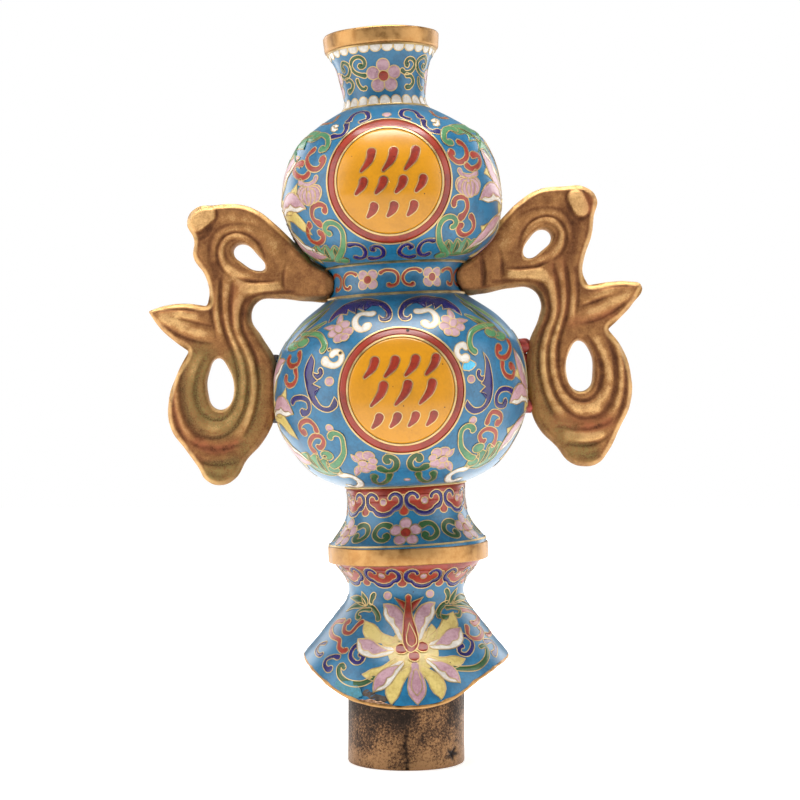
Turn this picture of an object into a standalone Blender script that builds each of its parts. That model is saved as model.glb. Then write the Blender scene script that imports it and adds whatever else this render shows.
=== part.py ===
"""Cloisonne staff finial.

A double-gourd vase with a gilt rim and two pierced ribbon handles stands on a gilt band, above
a bell-shaped skirt and a plain socket that fits over the top of a staff. The socket and skirt
are upright. The gourd and everything on it leans a little on its band.
"""
import math

import bmesh
import bpy
from mathutils import Vector

MM = 0.001

# Driving dimensions, in millimetres. A profile is a list of (radius, height), top to bottom.
GAP = 0.3               # left between pieces that touch
WALL = 1.8              # raised copper with its enamel
MERGE = 0.01            # merge distance

SOCKET_AXIS_X = 5.0     # puts the whole object's box in the middle of its frame
SOCKET_RADIUS = 25.0
SOCKET_BORE = 22.6
SOCKET_SHOULDER = 66.0  # top of the full-width tube
SOCKET_NECK = 22.9      # radius that passes up through the skirt's waist
SOCKET_TAPER = 2.6      # height of the slope between the two
BORE_SHOULDER = 63.0    # where the staff's shoulder stops,
NECK_BORE = 20.0        # with its narrower end above
BORE_TOP = 80.0
SOCKET_CHAMFER = 0.6

SKIRT_WALL = 1.5
SKIRT_STEPS = 2
SKIRT_WAIST = 74.0      # height of the narrowest place
SKIRT_PROFILE = [(33.5, 90.0), (30.3, 84.5), (26.2, 79.0), (24.7, 74.0), (26.0, 69.0), (31.7, 61.5),
                 (37.6, 54.0), (43.7, 46.7), (48.2, 38.5), (52.0, 29.0)]
HEM_LOW = 30.0          # the hem hangs low in front and behind,
HEM_HIGH = 46.7         # and rises to a point on each side
HEM_SHAPE = 1.3         # above 1 the points are sharper than the lobes
HEM_BEAD = 0.7          # radius of the gilt bead along the hem
HEM_BEAD_DROP = 1.6     # its centre, below the skirt's edge
HEM_SEGMENTS = 36

BAND_CENTRE = (5.7, 89.65)  # x and height of the pivot of the leaning part
LEAN = 3.0              # degrees, towards -X
BAND_RADIUS = 34.3
BAND_HALF_HEIGHT = 3.1
BAND_LIP = 3.6          # radial width of the raised lip
BAND_PLATE = 2.2
BAND_CHAMFER = 0.6
BAND_SPACE = (50.0, 20.0)   # radius and height of what trims the skirt and the socket

# Heights from here on are above the band's centre, along the leaning axis.
NECK_TOP = 216.0
RIM_TOP = 224.0
NECK_FOOT = (18.6, 190.9)       # the gourd's sections meet in these four creases
UPPER_BULB_FOOT = (29.8, 123.3)
WAIST_FOOT = (29.2, 109.7)
LOWER_BULB_FOOT = (25.6, 28.0)
NECK = [(22.6, NECK_TOP - GAP), (22.6, 214.0), (19.8, 208.0), (17.6, 196.0), NECK_FOOT]
UPPER_BULB = [NECK_FOOT, (21.5, 189.5), (28.8, 185.0), (39.6, 175.0), (46.2, 160.0), (47.0, 149.0),
              (42.7, 135.0), (36.0, 127.4), UPPER_BULB_FOOT]
WAIST = [UPPER_BULB_FOOT, (27.3, 119.5), (27.3, 113.5), WAIST_FOOT]
LOWER_BULB = [WAIST_FOOT, (32.4, 107.8), (42.0, 100.0), (49.9, 90.0), (54.2, 75.0), (54.2, 65.0),
              (51.0, 53.0), (42.9, 40.0), (30.8, 30.2), LOWER_BULB_FOOT]
FOOT = [LOWER_BULB_FOOT, (25.3, 22.0), (26.3, 15.0), (28.9, 10.0), (33.6, 4.6), (33.7, BAND_HALF_HEIGHT)]
GOURD_SECTIONS = {"neck": NECK, "upper_bulb": UPPER_BULB, "waist": WAIST, "lower_bulb": LOWER_BULB,
                  "foot": FOOT}
RIM_PROFILE = [(24.2, RIM_TOP), (24.9, 223.2), (24.4, 216.6), (23.8, NECK_TOP), (20.9, NECK_TOP),
               (20.6, 223.4), (21.2, RIM_TOP)]
ROUND_SEGMENTS = 28

# The ribbon's outlines are (x, height) on the right side, in the plane through the axis.
RIBBON_HALF_THICKNESS = 5.0
RIBBON_BEVEL = 1.5
OUTLINE_STEPS = 2
RIBBON_OUTLINE = [(29.5, 117.5), (31.5, 122.5), (37.5, 126.3), (45.0, 137.0), (53.0, 147.8), (64.0, 153.0),
                  (82.0, 153.3), (89.2, 146.0), (85.4, 133.0), (81.6, 118.0), (83.2, 110.6), (95.0, 111.3),
                  (106.2, 109.3), (100.0, 99.5), (90.6, 91.6), (97.5, 79.5), (99.7, 66.5), (94.0, 51.5),
                  (88.3, 38.8), (79.0, 32.7), (69.0, 37.5), (59.0, 50.0), (54.9, 65.0), (55.0, 79.0),
                  (59.0, 93.5), (62.8, 103.0), (58.0, 110.6), (46.0, 110.2), (34.0, 109.6)]
RIBBON_CORNERS = {10, 12, 14}   # places in the outline where it turns sharply
BESIDE_BULB = slice(25, 20, -1)  # the stretch of the outline along the lower bulb, top to bottom
UPPER_HOLE = [(56.3, 125.0), (59.0, 131.6), (65.0, 135.5), (68.6, 132.0), (63.8, 126.1), (58.5, 123.4)]
LOWER_HOLE = [(78.0, 87.0), (82.6, 82.0), (83.4, 73.5), (81.0, 66.3), (75.3, 66.0), (72.0, 73.5),
              (74.0, 83.0)]
END_BOSS_CENTRE = (34.0, 116.3)
END_BOSS_SIZE = (7.5, 7.5, 6.3)
BOSS_SEGMENTS = 10
RIBBON_CLEARANCE = 0.5  # to the gourd, which its inner end hugs

FLUTE_RADIUS = 2.4
FLUTE_DEPTH = 1.3
FLUTES = [
    [(44.0, 113.9), (56.0, 114.6), (64.3, 111.5), (67.4, 104.0), (66.0, 96.0), (61.8, 86.0), (60.2, 75.0),
     (62.0, 63.5), (67.5, 54.5), (77.0, 51.0), (87.0, 53.0), (93.0, 61.0), (93.8, 71.0), (89.5, 82.0)],
    [(67.5, 118.0), (71.3, 108.0), (71.0, 99.0), (67.0, 88.0), (65.6, 76.0), (68.0, 64.0), (75.0, 57.8),
     (83.0, 58.6), (88.0, 65.0), (88.0, 75.0)],
    [(79.0, 98.6), (90.0, 102.6), (99.0, 106.3)],
    [(51.0, 122.5), (53.5, 131.0), (61.0, 138.5), (69.0, 139.3), (73.3, 132.5), (68.5, 124.5)],
]

PAD_HALF_THICKNESS = 3.0
PAD_EDGE_STEPS = 4      # steps between two places of the ribbon's outline
PAD_CLEARANCE = 0.7     # to the ribbon, whose edge bows towards the pad
PAD_HEIGHTS = {"upper": (89.0, 86.0, 83.0), "lower": (63.0, 60.0, 57.0)}


def clear_scene():
    for obj in list(bpy.data.objects):
        bpy.data.objects.remove(obj, do_unlink=True)


def new_collection(name):
    collection = bpy.data.collections.new(name)
    bpy.context.scene.collection.children.link(collection)
    return collection


def make_material(name, colour, roughness, metallic):
    material = bpy.data.materials.new(name)
    material.use_nodes = True
    material.diffuse_color = (*colour, 1.0)
    shader = material.node_tree.nodes["Principled BSDF"]
    shader.inputs["Base Color"].default_value = (*colour, 1.0)
    shader.inputs["Roughness"].default_value = roughness
    shader.inputs["Metallic"].default_value = metallic
    return material


def add_object(name, data, collection, parent, material=None):
    obj = bpy.data.objects.new(name, data)
    collection.objects.link(obj)
    obj.parent = parent
    if material:
        data.materials.append(material)
    return obj


def hide_cutter(obj):
    obj.hide_render = True
    obj.display_type = "WIRE"


def smooth_path(points, steps):
    """A Catmull-Rom curve through the points, with the given number of steps between two."""
    path = []
    for i in range(len(points) - 1):
        before, start = Vector(points[max(i - 1, 0)]), Vector(points[i])
        end, after = Vector(points[i + 1]), Vector(points[min(i + 2, len(points) - 1)])
        for step in range(steps):
            t = step / steps
            path.append(0.5 * (2 * start + (end - before) * t
                               + (2 * before - 5 * start + 4 * end - after) * t ** 2
                               + (3 * start - before - 3 * end + after) * t ** 3))
    path.append(Vector(points[-1]))
    return path


def turned(name, profile, collection, parent, material, closed=True, segments=ROUND_SEGMENTS):
    """Turn a profile about Z. A closed profile makes a ring, and one that ends on the axis a solid."""
    count = len(profile)
    mesh = bpy.data.meshes.new(name)
    vertices = [(radius * MM, 0.0, height * MM) for radius, height in profile]
    edges = [(i, (i + 1) % count) for i in range(count if closed else count - 1)]
    mesh.from_pydata(vertices, edges, [])
    obj = add_object(name, mesh, collection, parent, material)
    screw = obj.modifiers.new("turn", "SCREW")
    screw.axis = "Z"
    screw.steps = segments
    screw.render_steps = segments
    screw.use_merge_vertices = True
    screw.merge_threshold = MERGE * MM
    screw.use_smooth_shade = False
    return obj


def add_wall(obj, thickness):
    """Give an open surface its wall, on the inside."""
    solidify = obj.modifiers.new("wall", "SOLIDIFY")
    solidify.thickness = thickness * MM
    solidify.offset = -1.0
    solidify.use_even_offset = True


def trimmed(profile, length):
    """The profile with both of its ends cut back by a length."""
    knots = [Vector(knot) for knot in profile]
    for end, beside in ((0, 1), (-1, -2)):
        knots[end] += (knots[beside] - knots[end]).normalized() * length
    return knots


def to_mesh_object(obj):
    """Replace a curve, or an object with modifiers, by its welded mesh under the same name."""
    bpy.context.view_layer.update()
    depsgraph = bpy.context.evaluated_depsgraph_get()
    mesh = bpy.data.meshes.new_from_object(obj.evaluated_get(depsgraph))
    shape = bmesh.new()
    shape.from_mesh(mesh)
    bmesh.ops.remove_doubles(shape, verts=shape.verts, dist=MERGE * MM)
    bmesh.ops.recalc_face_normals(shape, faces=shape.faces)
    shape.to_mesh(mesh)
    shape.free()
    name, parent, place = obj.name, obj.parent, obj.matrix_local.copy()
    collection = obj.users_collection[0]
    bpy.data.objects.remove(obj)
    welded = add_object(name, mesh, collection, parent)
    welded.matrix_local = place
    return welded


def boolean(obj, cutter, operation="DIFFERENCE"):
    modifier = obj.modifiers.new(cutter.name, "BOOLEAN")
    modifier.operation = operation
    modifier.object = cutter
    modifier.solver = "EXACT"
    modifier.use_self = cutter.name.endswith("flutes")
    hide_cutter(cutter)


def flat_curve(name, outlines, corners, side, half_thickness, bevel, collection, parent, material):
    """A plate in the XZ plane from outlines on the right side, mirrored when side is -1."""
    curve = bpy.data.curves.new(name, "CURVE")
    curve.dimensions = "2D"
    curve.fill_mode = "BOTH"
    curve.extrude = (half_thickness - bevel) * MM
    curve.bevel_depth = bevel * MM
    curve.bevel_resolution = 0
    curve.offset = -bevel * MM
    curve.resolution_u = OUTLINE_STEPS
    for index, outline in enumerate(outlines):
        spline = curve.splines.new("BEZIER")
        spline.bezier_points.add(len(outline) - 1)
        spline.use_cyclic_u = True
        for number, (knot, (x, height)) in enumerate(zip(spline.bezier_points, outline)):
            knot.co = (side * x * MM, height * MM, 0.0)
            sharp = index == 0 and number in corners
            knot.handle_left_type = "VECTOR" if sharp else "AUTO"
            knot.handle_right_type = knot.handle_left_type
    obj = add_object(name, curve, collection, parent, material)
    obj.rotation_euler.x = math.pi / 2
    return to_mesh_object(obj)


def hem_height(angle):
    """Height of the hem at an angle from +X."""
    side = abs(math.cos(angle)) ** HEM_SHAPE
    return HEM_LOW + (HEM_HIGH - HEM_LOW) * side


def radius_at(path, height):
    """Radius of a turned path, given top to bottom, at a height."""
    for (upper_radius, upper), (lower_radius, lower) in zip(path, path[1:]):
        if lower <= height <= upper:
            return upper_radius + (lower_radius - upper_radius) * (upper - height) / (upper - lower)
    return path[-1][0]


def make_socket(collection, material):
    axis = bpy.data.objects.new("socket_axis", None)
    collection.objects.link(axis)
    axis.location.x = SOCKET_AXIS_X * MM
    top = SKIRT_PROFILE[0][1]
    profile = [(0.0, top), (SOCKET_NECK, top), (SOCKET_NECK, SOCKET_SHOULDER + SOCKET_TAPER),
               (SOCKET_RADIUS, SOCKET_SHOULDER), (SOCKET_RADIUS, SOCKET_CHAMFER),
               (SOCKET_RADIUS - SOCKET_CHAMFER, 0.0), (SOCKET_BORE, 0.0), (SOCKET_BORE, BORE_SHOULDER),
               (NECK_BORE, SOCKET_SHOULDER), (NECK_BORE, BORE_TOP), (0.0, BORE_TOP)]
    socket = turned("socket", profile, collection, axis, material, closed=False)
    return axis, socket


def make_skirt(collection, axis, material):
    """Turn the bell down to a level hem, then pull the hem down to its two lobes."""
    path = smooth_path(SKIRT_PROFILE, SKIRT_STEPS)
    level = [knot for knot in SKIRT_PROFILE if knot[1] >= HEM_HIGH]
    skirt = turned("skirt", level, collection, axis, material, closed=False, segments=HEM_SEGMENTS)
    skirt = to_mesh_object(skirt)
    for vertex in skirt.data.vertices:
        place = vertex.co / MM
        if place.z >= SKIRT_WAIST:
            continue
        angle = math.atan2(place.y, place.x)
        stretch = (SKIRT_WAIST - hem_height(angle)) / (SKIRT_WAIST - HEM_HIGH)
        height = SKIRT_WAIST - (SKIRT_WAIST - place.z) * stretch
        radius = radius_at(path, height)
        vertex.co = Vector((radius * math.cos(angle), radius * math.sin(angle), height)) * MM
    add_wall(skirt, SKIRT_WALL)
    return skirt, path


def make_hem_rim(collection, axis, material, path):
    """A round gilt bead that follows the hem just below its edge."""
    curve = bpy.data.curves.new("skirt_hem_rim", "CURVE")
    curve.dimensions = "3D"
    curve.bevel_depth = HEM_BEAD * MM
    curve.bevel_resolution = 0
    spline = curve.splines.new("POLY")
    spline.points.add(HEM_SEGMENTS - 1)
    spline.use_cyclic_u = True
    for number, point in enumerate(spline.points):
        angle = 2 * math.pi * number / HEM_SEGMENTS
        height = hem_height(angle) - HEM_BEAD_DROP
        radius = radius_at(path, height) - SKIRT_WALL / 2
        point.co = (radius * math.cos(angle) * MM, radius * math.sin(angle) * MM, height * MM, 1.0)
    to_mesh_object(add_object("skirt_hem_rim", curve, collection, axis, material))


def make_band(collection, lean, material):
    """The gilt ring under the gourd's foot, with the plate that closes the gourd."""
    lip = BAND_RADIUS - BAND_LIP
    plate_top = BAND_PLATE - BAND_HALF_HEIGHT
    profile = [(0.0, plate_top), (lip, plate_top), (lip, BAND_HALF_HEIGHT - GAP),
               (BAND_RADIUS - BAND_CHAMFER, BAND_HALF_HEIGHT - GAP),
               (BAND_RADIUS, BAND_HALF_HEIGHT - GAP - BAND_CHAMFER),
               (BAND_RADIUS, BAND_CHAMFER - BAND_HALF_HEIGHT),
               (BAND_RADIUS - BAND_CHAMFER, -BAND_HALF_HEIGHT), (0.0, -BAND_HALF_HEIGHT)]
    return turned("foot_band", profile, collection, lean, material, closed=False)


def make_band_cutter(cutters, lean):
    """The space of the band and what is above it, which trims the skirt and the socket."""
    floor = -BAND_HALF_HEIGHT - GAP
    radius, top = BAND_SPACE
    profile = [(0.0, top), (radius, top), (radius, floor), (0.0, floor)]
    cutter = turned("band_space", profile, cutters, lean, None, closed=False)
    hide_cutter(cutter)
    return cutter


def make_flute_cutter(name, side, cutters, lean):
    """Round bars along every flute, sunk into the front and the back of a ribbon."""
    curve = bpy.data.curves.new(name, "CURVE")
    curve.dimensions = "3D"
    curve.bevel_depth = FLUTE_RADIUS * MM
    curve.bevel_resolution = 2
    curve.use_fill_caps = True
    depth = RIBBON_HALF_THICKNESS + FLUTE_RADIUS - FLUTE_DEPTH
    for flute in FLUTES:
        for y in (-depth, depth):
            spline = curve.splines.new("POLY")
            spline.points.add(len(flute) - 1)
            for point, (x, height) in zip(spline.points, flute):
                point.co = (side * x * MM, y * MM, height * MM, 1.0)
    return to_mesh_object(add_object(name, curve, cutters, lean))


def pad_outline(heights):
    """Fills the wedge between the lower bulb and the ribbon's inner edge."""
    inner_edge = smooth_path(RIBBON_OUTLINE[BESIDE_BULB], PAD_EDGE_STEPS)
    bulb_side = [(radius_at(LOWER_BULB, height) + GAP, height) for height in heights]
    ribbon_side = [(radius_at(inner_edge, height) - PAD_CLEARANCE, height) for height in reversed(heights)]
    return bulb_side + ribbon_side


def make_gourd_cutter(cutters, lean):
    """The outside of the whole gourd with a little clearance, which trims the ribbons."""
    outside = UPPER_BULB[1:] + WAIST[1:-1] + LOWER_BULB[:-1]
    swollen = [(radius + RIBBON_CLEARANCE, height) for radius, height in outside]
    profile = [(0.0, swollen[0][1])] + swollen + [(0.0, swollen[-1][1])]
    cutter = turned("gourd_space", profile, cutters, lean, None, closed=False)
    hide_cutter(cutter)
    return cutter


def make_ribbon(name, side, collection, cutters, lean, gourd_space, material):
    outlines = [RIBBON_OUTLINE, UPPER_HOLE, LOWER_HOLE]
    ribbon = flat_curve(name, outlines, RIBBON_CORNERS, side, RIBBON_HALF_THICKNESS, RIBBON_BEVEL,
                        collection, lean, material)
    boss_mesh = bpy.data.meshes.new(name + "_boss")
    shape = bmesh.new()
    bmesh.ops.create_uvsphere(shape, u_segments=BOSS_SEGMENTS, v_segments=BOSS_SEGMENTS // 2, radius=MM)
    shape.to_mesh(boss_mesh)
    shape.free()
    boss = add_object(name + "_boss", boss_mesh, cutters, lean)
    boss.location = (side * END_BOSS_CENTRE[0] * MM, 0.0, END_BOSS_CENTRE[1] * MM)
    boss.scale = END_BOSS_SIZE
    boolean(ribbon, boss, "UNION")
    boolean(ribbon, gourd_space)
    boolean(ribbon, make_flute_cutter(name + "_flutes", side, cutters, lean))
    return ribbon


def main():
    clear_scene()
    finial = new_collection("staff_finial")
    cutters = new_collection("cutters")
    gilt = make_material("gilt_bronze", (0.55, 0.33, 0.12), 0.35, 1.0)
    brown_bronze = make_material("worn_bronze", (0.22, 0.12, 0.06), 0.55, 1.0)
    enamel = make_material("turquoise_enamel", (0.05, 0.25, 0.5), 0.25, 0.0)
    red = make_material("red_filler", (0.3, 0.03, 0.02), 0.45, 0.0)

    axis, socket = make_socket(finial, brown_bronze)
    skirt, skirt_path = make_skirt(finial, axis, enamel)
    make_hem_rim(finial, axis, gilt, skirt_path)

    lean = bpy.data.objects.new("gourd_axis", None)
    finial.objects.link(lean)
    lean.location = (BAND_CENTRE[0] * MM, 0.0, BAND_CENTRE[1] * MM)
    lean.rotation_euler.y = -math.radians(LEAN)
    make_band(finial, lean, gilt)
    band_space = make_band_cutter(cutters, lean)
    boolean(socket, band_space)
    boolean(skirt, band_space)

    for name, profile in GOURD_SECTIONS.items():
        section = turned(name, trimmed(profile, GAP / 2), finial, lean, enamel, closed=False)
        add_wall(section, WALL)
    turned("mouth_rim", RIM_PROFILE, finial, lean, gilt)

    gourd_space = make_gourd_cutter(cutters, lean)
    for hand, side in (("left", -1), ("right", 1)):
        make_ribbon("ribbon_" + hand, side, finial, cutters, lean, gourd_space, gilt)
        for place, heights in PAD_HEIGHTS.items():
            outline = pad_outline(heights)
            flat_curve(place + "_pad_" + hand, [outline], set(range(len(outline))), side,
                       PAD_HALF_THICKNESS, 0.0, finial, lean, red)


main()
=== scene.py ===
import math
import random

import bmesh
import bpy
import numpy as np
from mathutils import Matrix, Vector


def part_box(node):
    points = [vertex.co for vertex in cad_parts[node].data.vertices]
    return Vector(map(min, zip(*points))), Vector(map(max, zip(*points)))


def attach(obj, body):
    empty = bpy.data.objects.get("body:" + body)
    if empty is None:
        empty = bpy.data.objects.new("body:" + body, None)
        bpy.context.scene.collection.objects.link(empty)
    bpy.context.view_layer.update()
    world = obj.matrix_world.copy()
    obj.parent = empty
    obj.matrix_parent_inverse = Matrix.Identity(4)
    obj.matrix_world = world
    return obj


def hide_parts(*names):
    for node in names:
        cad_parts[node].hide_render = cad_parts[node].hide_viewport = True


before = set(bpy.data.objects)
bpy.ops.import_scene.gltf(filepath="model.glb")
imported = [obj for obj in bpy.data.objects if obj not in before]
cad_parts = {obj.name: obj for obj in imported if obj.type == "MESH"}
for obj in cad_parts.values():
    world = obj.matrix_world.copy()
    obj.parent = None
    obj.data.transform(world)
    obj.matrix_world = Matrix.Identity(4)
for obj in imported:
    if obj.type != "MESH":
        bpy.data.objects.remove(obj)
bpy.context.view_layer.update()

mm = 0.001
handShake = random.Random(11)  # the enameller's small departures from the pattern


def boxOf(node):
    low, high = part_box(node)
    return Vector(low) / mm, Vector(high) / mm


bandLow, bandHigh = boxOf("foot_band")
rimLow, rimHigh = boxOf("mouth_rim")
socketLow, socketHigh = boxOf("socket")
bandCentre = (bandLow + bandHigh) / 2
rimCentre = (rimLow + rimHigh) / 2
lean = math.atan2(bandCentre.x - rimCentre.x, rimCentre.z - bandCentre.z)
socketAxis = (socketLow.x + socketHigh.x) / 2
print("frame read, the gourd leans", round(math.degrees(lean), 2), "degrees")

view = {"eye": (2.3, -860.0, 155.0), "lens": 90.0, "sensor": 36.0, "near": 10.0}


def newObject(name, data):
    thing = bpy.data.objects.new(name, data)
    bpy.context.scene.collection.objects.link(thing)
    return thing


def addCamera():
    camera = newObject("camera", bpy.data.cameras.new("camera"))
    camera.location = Vector(view["eye"]) * mm
    camera.rotation_euler = (math.radians(90), 0, 0)
    camera.data.lens = view["lens"]
    camera.data.sensor_width = view["sensor"]
    camera.data.clip_start = view["near"] * mm
    bpy.context.scene.camera = camera


addCamera()


# Profiles run from the top down, as (radius, height) in millimetres. The gourd's heights are
# above the middle of its foot band.
gourd = {
    "neck": [(22.6, 215.7), (22.6, 214), (19.8, 208), (17.5, 195.4), (18.5, 190.1)],
    "upper_bulb": [(18.5, 190.1), (21.4, 188.8), (28.3, 184.8), (35.2, 180), (40.4, 175), (45, 165.4),
                   (46.8, 156), (46.8, 148), (42.7, 135), (36, 127.4), (29.8, 123.3)],
    "waist": [(29.8, 123.3), (27.3, 119.5), (27.3, 113.5), (29.2, 109.7)],
    "lower_bulb": [(29.2, 109.7), (32.2, 107.8), (42.4, 100), (50.4, 90), (53.6, 80), (54.3, 70),
                   (53.7, 60), (49.9, 50), (43.3, 40), (36.6, 34.2), (29.6, 30.8), (25.6, 29.6)],
    "foot": [(25.6, 29.6), (25.2, 23.4), (26.2, 16.2), (28.9, 10.8), (33.4, 5.2), (33.7, 3.1)],
    # how far its middle wanders sideways, by height
    "bow": [(0, 0), (10, 0), (20, 0.5), (40, 0.6), (55, 0.4), (80, 0.7), (97, 1.2), (106, 0.9), (116, 0.6),
            (122, 1.1), (128, 2.2), (135, 2.5), (143, 1.8), (151, 1), (174, 1.4), (185, 0.6), (205, 0.1),
            (216, 0)],
    "wall": 1.8, "segments": 120, "row": 1.2,
}
skirt = {
    "profile": [(33.5, 90), (30.3, 84.5), (26.2, 79), (24.7, 74), (26, 69), (31.7, 61.5), (37.6, 54),
                (43.7, 46.7), (48.2, 38.5), (52, 29)],
    "hemLow": 31.3,      # the hem in front and behind,
    "hemHigh": 46.7,     # and at its two points
    # how far the hem has risen, against the sine of the angle from the front
    "hemRise": [(-1, 1), (-0.92, 0.87), (-0.78, 0.65), (-0.58, 0.33), (-0.4, 0.13), (-0.2, 0.03), (0, 0),
                (0.2, 0.04), (0.36, 0.18), (0.48, 0.36), (0.59, 0.56), (0.72, 0.73), (0.86, 0.89), (1, 1)],
    "bandGap": 0.3, "bandRadius": 32,
    "wall": 1.5, "segments": 240, "rows": 66,
    "bead": {"radius": 0.82, "inset": 0.45, "drop": 0.75},    # the gilt edge along the hem
}
sections = ["neck", "upper_bulb", "waist", "lower_bulb", "foot"]


def smoothPath(points, steps):  # a Catmull-Rom curve through rows of numbers
    knots = np.array(points, float)
    knots = np.vstack([2 * knots[0] - knots[1], knots, 2 * knots[-1] - knots[-2]])
    t = np.linspace(0, 1, steps, endpoint=False)[:, None]
    spans = [0.5 * (2 * b + (c - a) * t + (2 * a - 5 * b + 4 * c - d) * t ** 2
                    + (3 * b - a - 3 * c + d) * t ** 3)
             for a, b, c, d in zip(knots, knots[1:], knots[2:], knots[3:])]
    return np.vstack(spans + [knots[-2:-1]])


def makeForm(profiles, origin, tilt, bow):  # a turned surface, measured by its angle and by the run down it
    paths = [smoothPath(profile, 10) for profile in profiles]
    path = np.vstack([paths[0]] + [part[1:] for part in paths[1:]])
    run = np.concatenate([[0], np.cumsum(np.hypot(*np.diff(path, axis=0).T))])
    slope = np.gradient(path, run, axis=0)
    normal = np.stack([-slope[:, 1], slope[:, 0]], axis=1)  # outwards, as the profile runs down
    normal /= np.linalg.norm(normal, axis=1)[:, None]
    turn = Matrix.Rotation(-tilt, 3, "Y")
    eye = turn.inverted() @ (Vector(view["eye"]) - origin)
    return {"run": run, "radius": path[:, 0], "height": path[:, 1], "normal": normal, "bow": np.array(bow),
            "turn": np.array(turn), "origin": np.array(origin), "eye": eye}


def runAt(form, height):
    return np.interp(height, form["height"][::-1], form["run"][::-1])


def radiusAt(form, run):
    return np.interp(run, form["run"], form["radius"])


def heightAt(form, run):
    return np.interp(run, form["run"], form["height"])


def normalAt(form, run):  # outwards and up
    return [np.interp(run, form["run"], form["normal"][:, i]) for i in (0, 1)]


def bowAt(form, height):
    return np.interp(height, *form["bow"].T)


def onSurface(form, spots, lift=0.0):  # spots are (angle, run): 0 is in front, and grows towards +X
    angle, run = spots[..., 0], spots[..., 1]
    outward, up = normalAt(form, run)
    radius = radiusAt(form, run) + lift * outward
    height = heightAt(form, run) + lift * up
    across = radius * np.sin(angle) + bowAt(form, height)
    return inScene(form, np.stack([across, -radius * np.cos(angle), height], axis=-1))


def inScene(form, local):
    return (local @ form["turn"].T + form["origin"]) * mm


gourdForm = makeForm([gourd[name] for name in sections], bandCentre, lean, gourd["bow"])
skirtForm = makeForm([skirt["profile"]], Vector((socketAxis, 0, 0)), 0.0, [(0, 0), (1, 0)])


def linear(hexColour):  # an sRGB hex colour as the linear numbers that shaders take
    parts = [int(hexColour[i:i + 2], 16) / 255 for i in (0, 2, 4)]
    return tuple(c / 12.92 if c <= 0.04045 else ((c + 0.055) / 1.055) ** 2.4 for c in parts) + (1.0,)


def setUp(node, settings):  # a setting is a value, or the node or output to link to
    for name, value in settings.items():
        if isinstance(value, bpy.types.Node):
            value = value.outputs[0]
        if isinstance(value, bpy.types.NodeSocket):
            node.id_data.links.new(value, node.inputs[name])
        elif name == "stops":
            while len(node.color_ramp.elements) < len(value):
                node.color_ramp.elements.new(0.5)
            for element, (position, colour) in zip(node.color_ramp.elements, value):
                element.position = position
                element.color = linear(colour) if isinstance(colour, str) else colour
        elif isinstance(name, str) and hasattr(node, name):
            setattr(node, name, value)
        else:
            node.inputs[name].default_value = value
    return node


def addNode(tree, kind, settings):
    return setUp(tree.nodes.new("ShaderNode" + kind), settings)


def newMaterial(name, roughness, metallic=0.0):
    material = bpy.data.materials.new(name)
    material.use_nodes = True
    tree = material.node_tree
    shader = setUp(tree.nodes["Principled BSDF"], {"Roughness": roughness, "Metallic": metallic})
    return material, tree, shader


def objectPlace(tree):
    return addNode(tree, "TexCoord", {}).outputs["Object"]


def perPattern(size):  # a noise scale for features of a size in millimetres
    return 1 / (size * mm)


# Vitreous enamel: ground glass fired into the cells and polished flat, with a wet gloss, a faintly
# cloudy colour and a few burst bubbles.
enamels = {  # colour, its clouded shade, roughness; the pieces of enamel take all but the first
    "turquoise": ("155E81", "0F4C6C", 0.3),
    "red": ("882711", "6E1D0C", 0.3),
    "indigo": ("1B1056", "120B40", 0.24),
    "pink": ("A7858D", "8D6873", 0.34),
    "white": ("C5C0B8", "AEA69D", 0.3),
    "paleYellow": ("BAA663", "A18C4C", 0.32),
    "yellow": ("B97D05", "AE7504", 0.28),
    "lightGreen": ("46784A", "2F6244", 0.3),
    "darkGreen": ("204922", "163818", 0.28),
    # the pale turquoise of the painted highlight on the lower bulb
    "paleTurquoise": ("3FA9C9", "2C8FB4", 0.2),
    "burntBlack": ("16110E", "0B0908", 0.5),
}


def vitreousEnamel(name):
    colour, shade, roughness = enamels[name]
    material, tree, shader = newMaterial("vitreous_enamel_" + name, roughness)
    place = objectPlace(tree)
    cloud = addNode(tree, "TexNoise", {"Scale": perPattern(9), "Detail": 4.0, "Roughness": 0.6,
                    "Vector": place})
    grain = addNode(tree, "TexNoise", {"Scale": perPattern(1.1), "Detail": 3.0, "Vector": place})
    both = addNode(tree, "Math", {"operation": "MULTIPLY_ADD", 0: grain, 1: 0.55, 2: cloud})
    tone = addNode(tree, "ValToRGB", {"stops": [(0.62, shade), (0.86, colour)], "Fac": both})
    bubble = addNode(tree, "TexVoronoi", {"Scale": perPattern(3), "Vector": place})
    pit = addNode(tree, "ValToRGB", {"stops": [(0.07, (0.05, 0.04, 0.04, 1)), (0.11, (1, 1, 1, 1))],
                  "Fac": bubble})
    burst = addNode(tree, "Math", {"operation": "GREATER_THAN", 0: bubble.outputs["Color"], 1: 0.72})
    pitted = addNode(tree, "Mix", {"data_type": "RGBA", "blend_type": "MULTIPLY", 0: burst, 6: tone,
                     7: pit})
    ripple = addNode(tree, "Bump", {"Strength": 0.12, "Distance": 0.25 * mm, "Height": cloud})
    setUp(shader, {"Base Color": pitted.outputs[2], "Normal": ripple})
    return material


enamelOf = {name: vitreousEnamel(name) for name in enamels}
enamelOrder = list(enamels)[1:]


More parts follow.
